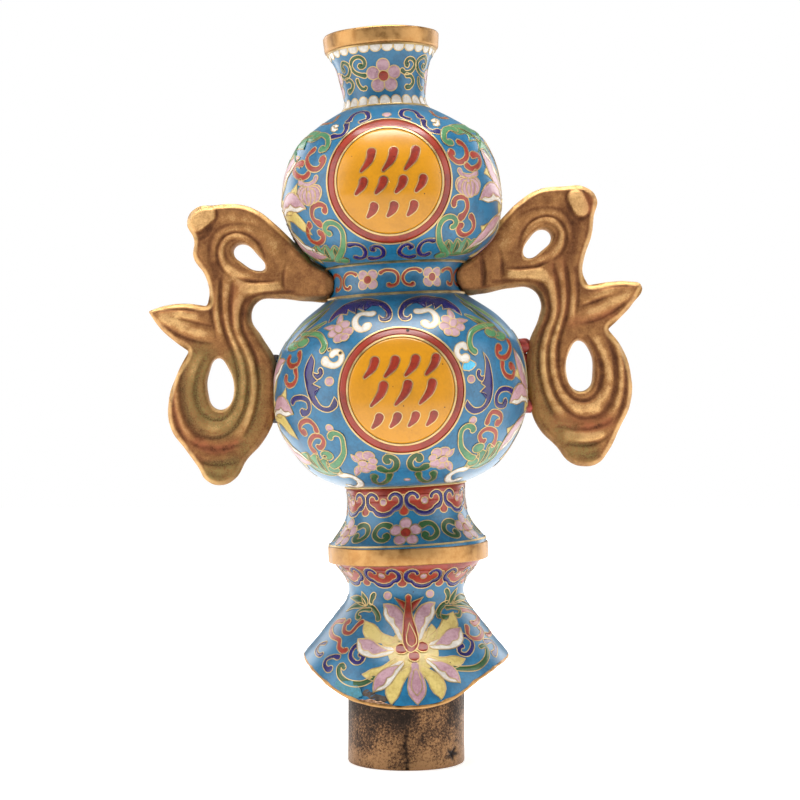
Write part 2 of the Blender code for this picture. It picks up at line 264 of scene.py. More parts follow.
def giltCopper(name, bright, worn, patch, roughness=0.42):
    # Fire-gilt copper: a thin mercury gilding over copper, bright where it is whole and browner where
    # handling has thinned it.
    material, tree, shader = newMaterial(name, roughness, 1.0)
    place = objectPlace(tree)
    cloud = addNode(tree, "TexNoise", {"Scale": perPattern(patch), "Detail": 6.0, "Roughness": 0.65,
                    "Vector": place})
    tone = addNode(tree, "ValToRGB", {"stops": [(0.36, worn), (0.58, bright)], "Fac": cloud})
    grain = addNode(tree, "TexNoise", {"Scale": perPattern(0.7), "Detail": 3.0, "Vector": place})
    rough = addNode(tree, "MapRange", {"From Min": 0.3, "From Max": 0.7, "To Min": roughness - 0.1,
                    "To Max": roughness + 0.15, "Value": cloud})
    bump = addNode(tree, "Bump", {"Strength": 0.25, "Distance": 0.15 * mm, "Height": grain})
    setUp(shader, {"Base Color": tone, "Roughness": rough, "Normal": bump})
    return material


cloisonGilt = giltCopper("gilt_copper_wire", "BDA477", "9F8759", 6)
bandGilt = giltCopper("gilt_copper_band", "AC8453", "926A3E", 4)


def mottled(name, clouds, stops, roughness, metallic, bump):
    # Tones that drift into each other in clouds, and a surface that is lumpy where they change. The
    # clouds are given by their size in millimetres, detail and roughness.
    material, tree, shader = newMaterial(name, roughness, metallic)
    size, detail, grain = clouds
    cloud = addNode(tree, "TexNoise", {"Scale": perPattern(size), "Detail": detail, "Roughness": grain,
                    "Vector": objectPlace(tree)})
    setUp(shader, {"Base Color": addNode(tree, "ValToRGB", {"stops": stops, "Fac": cloud})})
    if bump:
        lumps = addNode(tree, "Bump", {"Strength": bump, "Distance": 0.3 * mm, "Height": cloud})
        setUp(shader, {"Normal": lumps})
    return material


# Bare fired copper inside the vessel: black and brown oxide, matt.
copperInside = mottled("fired_copper_inside", (8, 6.0, 0.5), [(0.35, "1E1512"), (0.7, "6B4630")],
                       0.65, 0.8, 0)
# Lacquer paste pushed between bulb and ribbon: matt, lumpy, red or gone black.
redPaste = mottled("red_lacquer_paste", (2.5, 4.0, 0.5), [(0.35, "5C170F"), (0.65, "9A2A1A")], 0.45, 0, 0.4)
darkPaste = mottled("blackened_paste", (2.5, 4.0, 0.5), [(0.35, "1D1A1B"), (0.65, "3F3433")], 0.45, 0, 0.4)
# What shows where the enamel is lost or made good: dull broken glass, a satin resin filling that is
# a little off the turquoise, and copper rubbed bare, with a metal's sheen.
hemDamage = [
    mottled("fractured_enamel", (1.6, 6.0, 0.7), [(0.38, "1C1512"), (0.62, "4A3A2E")], 0.6, 0, 0.7),
    mottled("resin_repair", (1.6, 6.0, 0.7), [(0.38, "275E66"), (0.62, "2F7488")], 0.42, 0, 0.7),
    mottled("bared_copper", (1.6, 6.0, 0.7), [(0.38, "70503A"), (0.62, "A88468")], 0.42, 0.8, 0.7),
]


def patinatedSocket():
    # Cast brass tube with a brown patina and black speckled oxide, coloured darker towards the top, and
    # lighter towards its right side as painted side light. The piece's own attribute says where it is
    # scarred.
    material, tree, shader = newMaterial("patinated_brass_socket", 0.5, 0.85)
    place = objectPlace(tree)
    split = addNode(tree, "SeparateXYZ", {"Vector": place})
    cloud = addNode(tree, "TexNoise", {"Scale": perPattern(14), "Detail": 5.0, "Roughness": 0.6,
                    "Vector": place})
    speck = addNode(tree, "TexNoise", {"Scale": perPattern(0.95), "Detail": 5.0, "Roughness": 0.8,
                    "Vector": place})
    rise = addNode(tree, "MapRange", {"From Min": 4 * mm, "From Max": 26 * mm, "To Min": -0.16,
                   "To Max": 0.16, "Value": split.outputs["Z"]})
    # painted side light: the tube's colour is lighter towards its right side and darker towards its left
    side = addNode(tree, "MapRange", {"From Min": (socketAxis - 25) * mm, "To Min": 0.05,
                   "From Max": (socketAxis + 25) * mm, "To Max": -0.12, "Value": split.outputs["X"]})
    bias = addNode(tree, "Math", {"operation": "ADD", 0: rise, 1: side})
    broad = addNode(tree, "Math", {"operation": "ADD", 0: bias, 1: cloud})
    dark = addNode(tree, "Math", {"operation": "MULTIPLY_ADD", 0: speck, 1: 1.7, 2: broad})
    shift = addNode(tree, "MapRange", {"From Min": 0.95, "From Max": 1.7, "Value": dark})
    tone = addNode(tree, "ValToRGB", {"stops": [(0.2, "8E6A47"), (0.42, "6C4D33"), (0.56, "463427"),
                   (0.78, "2B221C")], "Fac": shift})
    scar = addNode(tree, "Attribute", {"attribute_name": "scar"}).outputs["Fac"]
    scarred = addNode(tree, "Mix", {"data_type": "RGBA", 0: scar, 6: tone, 7: linear("1E1510")})
    bump = addNode(tree, "Bump", {"Strength": 0.5, "Distance": 0.2 * mm, "Height": speck})
    rough = addNode(tree, "MapRange", {"To Min": 0.38, "To Max": 0.7, "Value": shift})
    setUp(shader, {"Base Color": scarred.outputs[2], "Normal": bump, "Roughness": rough})
    return material


def castRibbonBronze():
    # Cast bronze with worn gilding and green and coppery stains: brown in the cut lines and gold on the
    # ridges, partly wear and partly painted shade and painted highlight of the relief, brightest on the
    # filed edge, with painted top light on its rims. The piece's own attributes say which is where.
    material, tree, shader = newMaterial("worn_gilt_cast_bronze", 0.5, 0.85)
    place = objectPlace(tree)
    crest, edge, green, copper = [addNode(tree, "Attribute", {"attribute_name": name}).outputs["Fac"]
                                  for name in ("crest", "edge", "verdigris", "coppery")]
    grain = addNode(tree, "TexNoise", {"Scale": perPattern(0.7), "Detail": 5.0, "Roughness": 0.8,
                    "Vector": place})
    cloud = addNode(tree, "TexNoise", {"Scale": perPattern(5), "Detail": 8.0, "Roughness": 0.75,
                    "Vector": place})
    mixed = addNode(tree, "Math", {"operation": "MULTIPLY_ADD", 0: grain, 1: 0.95, 2: crest})
    level = addNode(tree, "Math", {"operation": "MULTIPLY_ADD", 0: cloud, 1: 1.5, 2: mixed})
    span = addNode(tree, "MapRange", {"From Min": 0.85, "From Max": 2.6, "Value": level})
    tone = addNode(tree, "ValToRGB", {"stops": [(0.05, "422617"), (0.33, "70472A"), (0.6, "996C41"),
                   (0.88, "D4AB72")], "Fac": span})
    speck = addNode(tree, "MapRange", {"From Min": 0.35, "From Max": 0.62, "Value": cloud})
    patch = addNode(tree, "MapRange", {"From Min": 0.38, "From Max": 0.6, "Value": grain})
    worn = addNode(tree, "MapRange", {"From Min": 0.3, "From Max": 0.55, "To Min": 0.25, "To Max": 0.9,
                   "Value": cloud})
    stainsAndShading = ((copper, speck, "8F5236"), (green, patch, "7C6D40"), (edge, worn, "CDA66C"))
    for amount, broken, colour in stainsAndShading:  # the last, the worn gold of the edges with its painted top light, is also the smoothest
        share = addNode(tree, "Math", {"operation": "MULTIPLY", 0: amount, 1: broken})
        mix = addNode(tree, "Mix", {"data_type": "RGBA", 0: share, 6: tone, 7: linear(colour)})
        tone = mix.outputs[2]
    bump = addNode(tree, "Bump", {"Strength": 0.7, "Distance": 0.35 * mm, "Height": level})
    rough = addNode(tree, "MapRange", {"To Min": 0.55, "To Max": 0.34, "Value": share})
    setUp(shader, {"Base Color": tone, "Normal": bump, "Roughness": rough})
    return material


socketBrass = patinatedSocket()
ribbonBronze = castRibbonBronze()
print("materials mixed")


def finishPiece(name, shape, materials, node=None, sharp=40):
    bmesh.ops.remove_doubles(shape, verts=shape.verts, dist=0.002 * mm)
    mesh = bpy.data.meshes.new(name)
    shape.to_mesh(mesh)
    shape.free()
    for material in materials:
        mesh.materials.append(material)
    mesh.shade_smooth()
    mesh.set_sharp_from_angle(angle=math.radians(sharp))
    piece = newObject(name, mesh)
    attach(piece, "root")
    if node:
        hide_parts(*([node] if isinstance(node, str) else node))
    return piece


def thicken(piece, depth):  # inwards, from the surface that is seen
    body = piece.modifiers.new("depth", "SOLIDIFY")
    body.thickness = depth * mm
    body.offset = -1


def finalShape(name, data, voxel=None):  # a curve or a mesh as it comes out, as a new bmesh
    holder = newObject(name, data)
    if voxel:
        remesh = holder.modifiers.new("remesh", "REMESH")
        remesh.mode = "VOXEL"
        remesh.voxel_size = voxel * mm
    bpy.context.view_layer.update()
    mesh = bpy.data.meshes.new_from_object(holder.evaluated_get(bpy.context.evaluated_depsgraph_get()))
    bpy.data.objects.remove(holder)
    shape = bmesh.new()
    shape.from_mesh(mesh)
    bpy.data.meshes.remove(mesh)
    return shape


def spun(profile, segments):  # a (radius, height) outline turned full circle; off the axis, it is closed
    shape = bmesh.new()
    corners = [shape.verts.new((radius, 0, height)) for radius, height in profile]
    following = corners[1:] + (corners[:1] if profile[0][0] else [])
    edges = [shape.edges.new(pair) for pair in zip(corners, following)]
    bmesh.ops.spin(shape, geom=corners + edges, cent=(0, 0, 0), axis=(0, 0, 1), dvec=(0, 0, 0),
                   angle=math.tau, steps=segments, use_merge=True, use_duplicate=False)
    bmesh.ops.remove_doubles(shape, verts=shape.verts, dist=0.001)
    bmesh.ops.recalc_face_normals(shape, faces=shape.faces)
    return shape


def addGourd():
    wall, footBottom = gourd["wall"], gourd["foot"][-1][1]
    creases = [runAt(gourdForm, gourd[name][-1][1]) for name in sections]
    run = np.unique(np.concatenate([np.arange(0, gourdForm["run"][-1], gourd["row"]), creases]))
    outer = np.stack([radiusAt(gourdForm, run), heightAt(gourdForm, run)], axis=1)
    inner = (outer - wall * np.stack(normalAt(gourdForm, run), axis=1))[::-3]
    inner = inner[(inner[:, 1] > footBottom) & (inner[:, 1] < outer[0, 1])]
    inner = np.vstack([[outer[-1, 0] - wall, outer[-1, 1]], inner, [outer[0, 0] - wall, outer[0, 1]]])
    shape = spun(np.vstack([outer, inner]).tolist(), gourd["segments"])
    turn, origin = Matrix(gourdForm["turn"].tolist()), Vector(gourdForm["origin"])
    for vertex in shape.verts:
        vertex.co = (turn @ vertex.co + origin) * mm
    for face in shape.faces:
        local = turn.inverted() @ (face.calc_center_median() / mm - origin)
        depth = radiusAt(gourdForm, runAt(gourdForm, local.z)) - local.xy.length
        face.material_index = int(depth > wall / 2)
    for vertex in shape.verts:
        aside = float(bowAt(gourdForm, (turn.inverted() @ (vertex.co / mm - origin)).z))
        vertex.co += turn @ Vector((aside * mm, 0, 0))
    finishPiece("gourd_ground", shape, [enamelOf["turquoise"], copperInside], sections)


addGourd()
print("gourd turned")


# A cell of enamel is a strip bent over the surface, and a flattened wire runs round it.
cell = {
    "base": 0.03, "layer": 0.06, "thickness": 0.3,    # an enamel stands over the ground by its layer
    "wireHalf": 0.19, "wireRise": 0.045, "wireBottom": -0.15,
    "rowPitch": {"brushed": 1.05, "shaped": 0.7, "patch": 0.8},    # between the rows along a cell
    "rows": {"brushed": 4, "shaped": (9, 30), "patch": 8},    # the fewest rows, and a shape's most
    "columnPitch": 1.6, "patchColumns": 5, "roundSteps": 96, "beltSteps": 144,
    "fullness": 1.42,               # of the drawn strokes against the widths in the lists
    "ballFrom": 5,                  # a scroll this many widths long ends in balls:
    "balls": ((0.3, 0.7, 0.7), (0.55, 0.8, 0.8)),    # their swell, place and reach, in widths
    "petal": ([0, 0.08, 0.28, 0.48, 0.64, 0.78, 0.88, 0.95, 1],    # a petal's width along its spine
              [0, 0.4, 0.62, 0.88, 1, 0.86, 0.52, 0.22, 0]),
    "vein": (0.15, 0.22),           # where the pink of a petal starts to widen, and over what share
    "scallops": (0.2, 0.3, 3.5),    # how near the pink's edge keeps to the spine, its waves and their count
    "pinkReach": 0.96,
}


def newSection(name, form):
    return {"name": name, "form": form, "enamel": bmesh.new(), "wire": bmesh.new()}


def fillGrid(shape, places, material=0):
    rows, columns = places.shape[:2]
    grid = bmesh.ops.create_grid(shape, x_segments=columns - 1, y_segments=rows - 1, size=1)["verts"]
    for vertex, place in zip(grid, places.reshape(-1, 3)):
        vertex.co = place
    for face in {face for vertex in grid for face in vertex.link_faces}:
        face.material_index = material


def liftOf(layer):
    return cell["base"] + cell["layer"] * layer


def fillCell(section, rows, colour, layer):
    places = onSurface(section["form"], np.array(rows), liftOf(layer))
    fillGrid(section["enamel"], places, enamelOrder.index(colour))


def heading(form, spots, closed=False):  # unit steps across and up the surface along a line of (angle, run)
    if closed:
        step = np.roll(spots, -1, axis=0) - np.roll(spots, 1, axis=0)
        step[:, 0] = np.angle(np.exp(1j * step[:, 0]))
    else:
        step = np.gradient(spots, axis=0)
    across, up = step[:, 0] * radiusAt(form, spots[:, 1]), -step[:, 1]
    length = np.hypot(across, up) + 1e-9
    return across / length, up / length


def besides(form, spots, across, up, offset):  # the line moved to its left by an offset
    return np.stack([spots[:, 0] - up * offset / radiusAt(form, spots[:, 1]),
                     spots[:, 1] - across * offset], axis=1)


def wire(section, spots, top, half=cell["wireHalf"]):  # a closed loop of flattened wire
    form, bottom = section["form"], cell["wireBottom"]
    across, up = heading(form, spots, True)
    places = np.array([onSurface(form, besides(form, spots, across, up, side * half), lift)
                       for side, lift in ((-1, top), (1, top), (1, bottom), (-1, bottom), (-1, top))])
    fillGrid(section["wire"], np.concatenate([places, places[:, :1]], axis=1))


def wireRound(section, left, right, layer, joined=1):  # the two edges of a cell, one given back to front
    wire(section, np.concatenate([left, right[joined:-1][::-1]]), liftOf(layer) + cell["wireRise"])


def spread(values, t):  # a few values shared out evenly over 0 to 1
    return np.interp(t, np.linspace(0, 1, len(values)), values)


def edgesOf(shape, t, length, width):  # how far a stroke reaches to its left and its right along its spine
    half = (spread(width, t) if np.ndim(width) else width + 0 * t) / 2
    if shape in ("scroll", "dab"):
        if shape == "scroll" and not np.ndim(width) and length > cell["ballFrom"] * width:
            swell = 1
            for way, (rise, place, reach) in zip((t, 1 - t), cell["balls"]):
                swell = swell + rise * np.exp(-((way * length / width - place) / reach) ** 2)
            half = half * swell
        fromEnd = np.minimum(t, 1 - t) * length / np.interp([0, 1], t, half)[(t > 0.5).astype(int)]
        half = half * np.sqrt(np.clip(1 - (1 - np.minimum(fromEnd, 1)) ** 2, 0, 1))
    elif shape == "leaf":
        half = half * np.sin(np.pi * t ** 0.8)
    elif shape == "disc":
        half = half * np.sqrt(np.clip(1 - (2 * t - 1) ** 2, 0, 1))
    elif shape == "arch":
        half = half * np.sqrt(np.clip(1 - t ** 3, 0, 1))
    else:
        half = half * np.interp(t, *cell["petal"])
    if shape in ("petalLeft", "petalRight"):  # the pink of a petal, scalloped where it meets the white
        (start, share), (least, wave, count) = cell["vein"], cell["scallops"]
        grown = np.clip((t - start) / share, 0, 1) ** 0.7  # only a vein near the heart
        scallop = (least + wave * np.abs(np.sin(count * np.pi * t))) * half * grown
        outer = half * cell["pinkReach"] * grown
        return (outer, -scallop) if shape == "petalLeft" else (scallop, -outer)
    return half, -half


def samples(shape, length, width):  # where the rows lie along a stroke, closer together at its ends
    if shape not in ("scroll", "dab"):
        count = int(np.clip(length / cell["rowPitch"]["shaped"], *cell["rows"]["shaped"]))
        return (1 - np.cos(np.linspace(0, np.pi, count))) / 2
    cap = min(np.max(width) * 0.75, length / 3)
    rounding = cap * (1 - np.cos(np.linspace(0, np.pi / 2, 6))) / length
    count = max(cell["rows"]["brushed"], int(length / cell["rowPitch"]["brushed"]))
    return np.concatenate([rounding, np.linspace(cap / length, 1 - cap / length, count)[1:-1],
                           1 - rounding[::-1]])


def measured(line, radius):  # a line of (angle, run) with how far along it each spot is, in millimetres
    step = np.diff(line, axis=0)
    step[:, 0] *= radius
    return line, np.concatenate([[0], np.cumsum(np.hypot(step[:, 0], step[:, 1]))])


def resampled(line, along, places):
    return np.stack([np.interp(places, along, line[:, i]) for i in (0, 1)], axis=1)


def stroke(section, place, points, width, colour, shape="scroll", layer=1.0, wired=True):
    form = section["form"]
    line = smoothPath(place(points), 10)
    line, along = measured(line, radiusAt(form, line[:-1, 1]))
    length = along[-1]
    t = samples(shape, length, width)
    spots = resampled(line, along, t * length)
    across, up = heading(form, spots)
    left, right = edgesOf(shape, t, length, width)
    for edge in (left, right):
        edge[-1] = 0
        if shape != "arch":
            edge[0] = 0
    columns = 3 + 2 * int(left.max() / cell["columnPitch"])
    rows = [besides(form, spots, across, up, left * k + right * (1 - k))
            for k in np.linspace(0, 1, columns)]
    fillCell(section, rows, colour, layer)
    if wired:
        wireRound(section, rows[0], rows[-1], layer, int(left[0] == 0))


def patch(section, place, edges, colour, layer):  # a cell between two edges that share both ends
    typicalRadius = 40
    sides = [measured(smoothPath(place(edge), 8), typicalRadius) for edge in edges]
    longest = max(along[-1] for _, along in sides)
    count = max(cell["rows"]["patch"], int(longest / cell["rowPitch"]["patch"]))
    left, right = [resampled(line, along, np.linspace(0, along[-1], count)) for line, along in sides]
    for end in (0, -1):
        right[end] = left[end]
    outline = np.concatenate([left, right[::-1]])
    following = np.roll(outline, -1, axis=0)
    if np.sum(outline[:, 0] * following[:, 1] - following[:, 0] * outline[:, 1]) < 0:  # a mirrored one
        left, right = right, left
    rows = [left * k + right * (1 - k) for k in np.linspace(0, 1, cell["patchColumns"])]
    fillCell(section, rows, colour, layer)
    wireRound(section, left, right, layer)


def dot(section, place, centre, radius, colour, layer=1.0, wired=True):
    x, z = centre
    line = [(x - radius, z), (x, z), (x + radius, z)]
    stroke(section, place, line, 2 * radius, colour, "disc", layer, wired)


def circle(place, centre, radius):
    spots = place([(centre[0] + radius * math.cos(a), centre[1] + radius * math.sin(a))
                   for a in np.linspace(0, math.tau, cell["roundSteps"] + 1)])
    spots[-1] = spots[0]
    return spots


def ring(section, place, centre, inner, outer, colour):
    radii = np.linspace(outer, inner, 2 + int((outer - inner) / cell["rowPitch"]["patch"]))
    fillCell(section, [circle(place, centre, radius) for radius in radii], colour, 1.0)


def asSeen(form, side=1, turn=0.0, shake=0.1):
    # Places points given as they look from the front, in the form's own frame, on the surface
    def place(points):
        eye = form["eye"]
        seen = np.array(points, float)
        if shake:
            seen += [[handShake.gauss(0, shake), handShake.gauss(0, shake)] for _ in seen]
        depth = np.zeros(len(seen))
        for _ in range(10):
            near = 1 + depth / eye.y
            across = eye.x + (seen[:, 0] - eye.x) * near
            height = eye.z + (seen[:, 1] - eye.z) * near
            radius = radiusAt(form, runAt(form, height))
            out = across - side * math.cos(turn) * bowAt(form, height)
            depth = np.sqrt(np.clip(radius ** 2 - out ** 2, 0, None))
        angle = np.arcsin(np.clip(out / radius, -1, 1))
        return np.stack([turn + side * angle, runAt(form, height)], axis=1)
    return place


def around(form, angle, height, scale=1.0, side=1):
    # Places points given as (across, up) from a centre on the surface
    def place(points):
        across, up = np.array(points, float).T * scale
        run = runAt(form, height) - up
        return np.stack([angle + side * across / radiusAt(form, run), run], axis=1)
    return place


def drawAll(section, place, strokes):  # each is colour, width, points and, where not plain, shape and layer
    for colour, width, points, *rest in strokes:
        shape, layer = rest + ["scroll", 1.0][len(rest):]
        if shape == "patch":
            patch(section, place, points, colour, layer)
        elif len(points) == 1:
            dot(section, place, points[0], width, colour, layer)
        else:
            full = width if isinstance(width, tuple) else width * cell["fullness"]
            stroke(section, place, points, full, colour, shape, layer)


def closeSection(section):
    name, fills = section["name"], [enamelOf[colour] for colour in enamelOrder]
    thicken(finishPiece(name + "_enamels", section["enamel"], fills, None), cell["thickness"])
    finishPiece(name + "_cloisons", section["wire"], [cloisonGilt], None, sharp=30)


def blossom(section, place, centre, flower):
    # Round petals, one of them upright, about a red heart
    x, z = centre
    reach, petal, heart = flower
    for number in range(5):
        turn = math.radians(90 + 72 * number)
        dot(section, place, (x + reach * math.cos(turn), z + reach * math.sin(turn)), petal, "pink", 1)
    dot(section, place, centre, heart, "red", 2.2)


peonyBud = {
    "sepal": ([(0.8, 2.2), (2.6, 4.0), (5.0, 5.6)], 3.0),
    "lobes": [  # across, up, radius, layer
        (-2.9, 1.3, 2.5, 1), (2.9, 1.3, 2.5, 1), (-2.2, -1.9, 2.5, 2.2), (2.3, -1.9, 2.4, 3.3),
        (0.2, -3.3, 1.8, 4.4),
    ],
    "fold": ([(0.2, 3.2), (0.2, 1.4), (0.2, -0.6)], 3.4),
}


def peony(section, place, centre, size, lean):  # a closed bud of folded petals under two sepals
    x, z = centre
    across, up = math.cos(lean) * size, math.sin(lean) * size

    def moved(a, b):
        return (x + a * across - b * up, z + a * up + b * across)

    points, width = peonyBud["sepal"]
    for side in (-1, 1):
        stroke(section, place, [moved(side * a, b) for a, b in points], width * size, "pink", "leaf", 0.9)
    for a, b, radius, layer in peonyBud["lobes"]:
        dot(section, place, moved(a, b), radius * size, "pink", layer)
    points, width = peonyBud["fold"]
    stroke(section, place, [moved(a, b) for a, b in points], width * size, "pink", "disc", 5.5)


def lotus(section, place, petals):
    # Petals run from the heart to their tips; a white one has a scalloped pink face
    for base, tip, width, bend, colour, *face in petals:
        (x0, z0), (x1, z1) = base, tip
        dx, dz = x1 - x0, z1 - z0
        spine = [base, (x0 + 0.5 * dx - dz * bend, z0 + 0.5 * dz + dx * bend),
                 (x0 + 0.85 * dx - dz * bend * 0.5, z0 + 0.85 * dz + dx * bend * 0.5), tip]
        layer = 2.2 if colour == "white" else 1.0
        stroke(section, place, spine, width, colour, "petal", layer)
        if colour == "white":
            side = "petal" + (face[0] if face else "Left" if bend > 0 else "Right")
            stroke(section, place, spine, width, "pink", side, layer + 1.2)


medallionParts = {
    "field": 0.01, "border": (0.8, 3.9),              # beyond the disc
    "hoops": [(0.5, 0.42), (4.2, 0.36)], "hoopTop": 0.32,    # beyond the disc, and half their width
    "brush": (4.4, 3.4, 1.2), "bow": 0.12,
}


def inscription(section, place, centre, rows):
    # Rows of brush dabs, all leaning one way; they spell nothing
    for up, count, length, pitch, slant in rows:
        for number in range(count):
            x = centre[0] + (number - (count - 1) / 2) * pitch
            z = centre[1] + up
            dx, dz = length / 2 * math.sin(slant), length / 2 * math.cos(slant)
            points = [(x + dx, z + dz), (x + medallionParts["bow"] * length, z), (x - dx, z - dz)]
            stroke(section, place, points, medallionParts["brush"], "red", "dab", 2.0)


def medallion(section, turn, pattern):
    place = asSeen(section["form"], 1, turn, 0)
    centre, radius = pattern["centre"], pattern["disc"]
    inner, outer = medallionParts["border"]
    ring(section, place, centre, medallionParts["field"], radius, "yellow")
    ring(section, place, centre, radius + inner, radius + outer, "red")
    for beyond, half in medallionParts["hoops"]:
        wire(section, circle(place, centre, radius + beyond)[:-1], medallionParts["hoopTop"], half)
    inscription(section, place, centre, pattern["dabs"])


cloudHead = {
    "head": ([(-6.6, -0.4), (0, -1.0), (6.6, -0.4)], 8.6),
    "border": [(2.7, 0.9), (3.5, 2.8), (5.7, 3.6), (7.6, 2.0), (7.6, -0.6), (6.2, -2.3), (4.7, -2.8),
               (3.0, -4.4)],
    "foot": (0, -5.2),
    "borderWidths": (1.9, 1.7, 1.9, 2.2, 2.1, 2.6, 1.7, 2.3, 2.1),    # from its end to its foot
    "pearl": ((0, 0.2), 1.45),
    "drop": ([3.2, -1.5, -5.6], (2.6, 3.2, 5.0)),
}


def ruyi(section, place, pitch):
    # A red cloud head in an indigo border, with a drop beside it
    points, width = cloudHead["head"]
    stroke(section, place, points, width, "red", "disc", 1.0, False)
    half, widths = cloudHead["border"], cloudHead["borderWidths"]
    border = [(-x, z) for x, z in half] + [cloudHead["foot"]] + half[::-1]
    stroke(section, place, border, widths + widths[-2::-1], "indigo", "scroll", 2.2)
    dot(section, place, *cloudHead["pearl"], "pink", 2.4)
    heights, width = cloudHead["drop"]
    stroke(section, place, [(pitch / 2, z) for z in heights], width, "red")


def band(section, top, bottom, colour, layer=0.8):  # a belt of enamel right round
    form = section["form"]
    runs = [runAt(form, height) for height in (bottom, (top + bottom) / 2, top)]
    rows = [[(a, run) for a in np.linspace(0, math.tau, cell["beltSteps"] + 1)] for run in runs]
    fillCell(section, rows, colour, layer)


def belt(section, height, half, top):  # a wire right round
    angles = np.linspace(0, math.tau, cell["beltSteps"] + 1)[:-1]
    run = runAt(section["form"], height)
    wire(section, np.stack([angles, np.full(len(angles), run)], axis=1), top, half)


def allRound(count, first):  # the angles of what goes right round, the first given in degrees
    return [math.radians(first + 360 / count * number) for number in range(count)]


neckPattern = {
    "centre": (0.5, 205.2), "flower": (4.75, 2.8, 2.25),    # its reach, its petals' radius and its heart's
    "scrolls": [
        ("darkGreen", 1.15, [(7.6, 207.9), (9.7, 206.2), (12.4, 206.5), (14, 208.9), (13.7, 211.2),
         (12.1, 212.3), (10.5, 211.3), (10.4, 209.6), (11.6, 209.4)]),
        ("darkGreen", 1.15, [(9.4, 205), (12, 204.3), (12.9, 202.2), (11.9, 200.3), (10.3, 199.8),
         (9.6, 200.9)]),
        ("darkGreen", 1.2, [(-6.6, 205.5), (-9.2, 206), (-11.9, 207.5), (-13.4, 210.1), (-12.6, 212.8),
         (-10.1, 213.8), (-7.9, 212.5), (-7.6, 210.3), (-9, 209.4), (-10, 210.8)]),
        ("darkGreen", 1.15, [(-11, 204.8), (-10.9, 202.4), (-9.4, 200.3), (-7.7, 200), (-7.5, 201.2)]),
    ],
    # white beads: how many, the first's place, height, the rise along them, width
    "beads": [(28, 0.5, 215.0, (0, -1.6, -3.1), 4.9), (23, 0, 190.4, (0, 2, 4), 4.75)],
    "belts": [(215.1, 0.4, 0.7), (190.1, 0.4, 0.5)],    # wires right round: height, half width, rise
}


def addNeck():
    section = newSection("neck", gourdForm)
    for number in range(4):
        place = asSeen(gourdForm, 1, number * math.pi / 2)
        blossom(section, place, neckPattern["centre"], neckPattern["flower"])
        drawAll(section, place, neckPattern["scrolls"])
    for count, first, height, points, width in neckPattern["beads"]:
        for number in range(count):
            place = around(gourdForm, math.tau * (number + first) / count, height)
            stroke(section, place, [(0, up) for up in points], width, "white", "arch")
    for height, half, top in neckPattern["belts"]:
        belt(section, height, half, top)
    closeSection(section)


addNeck()


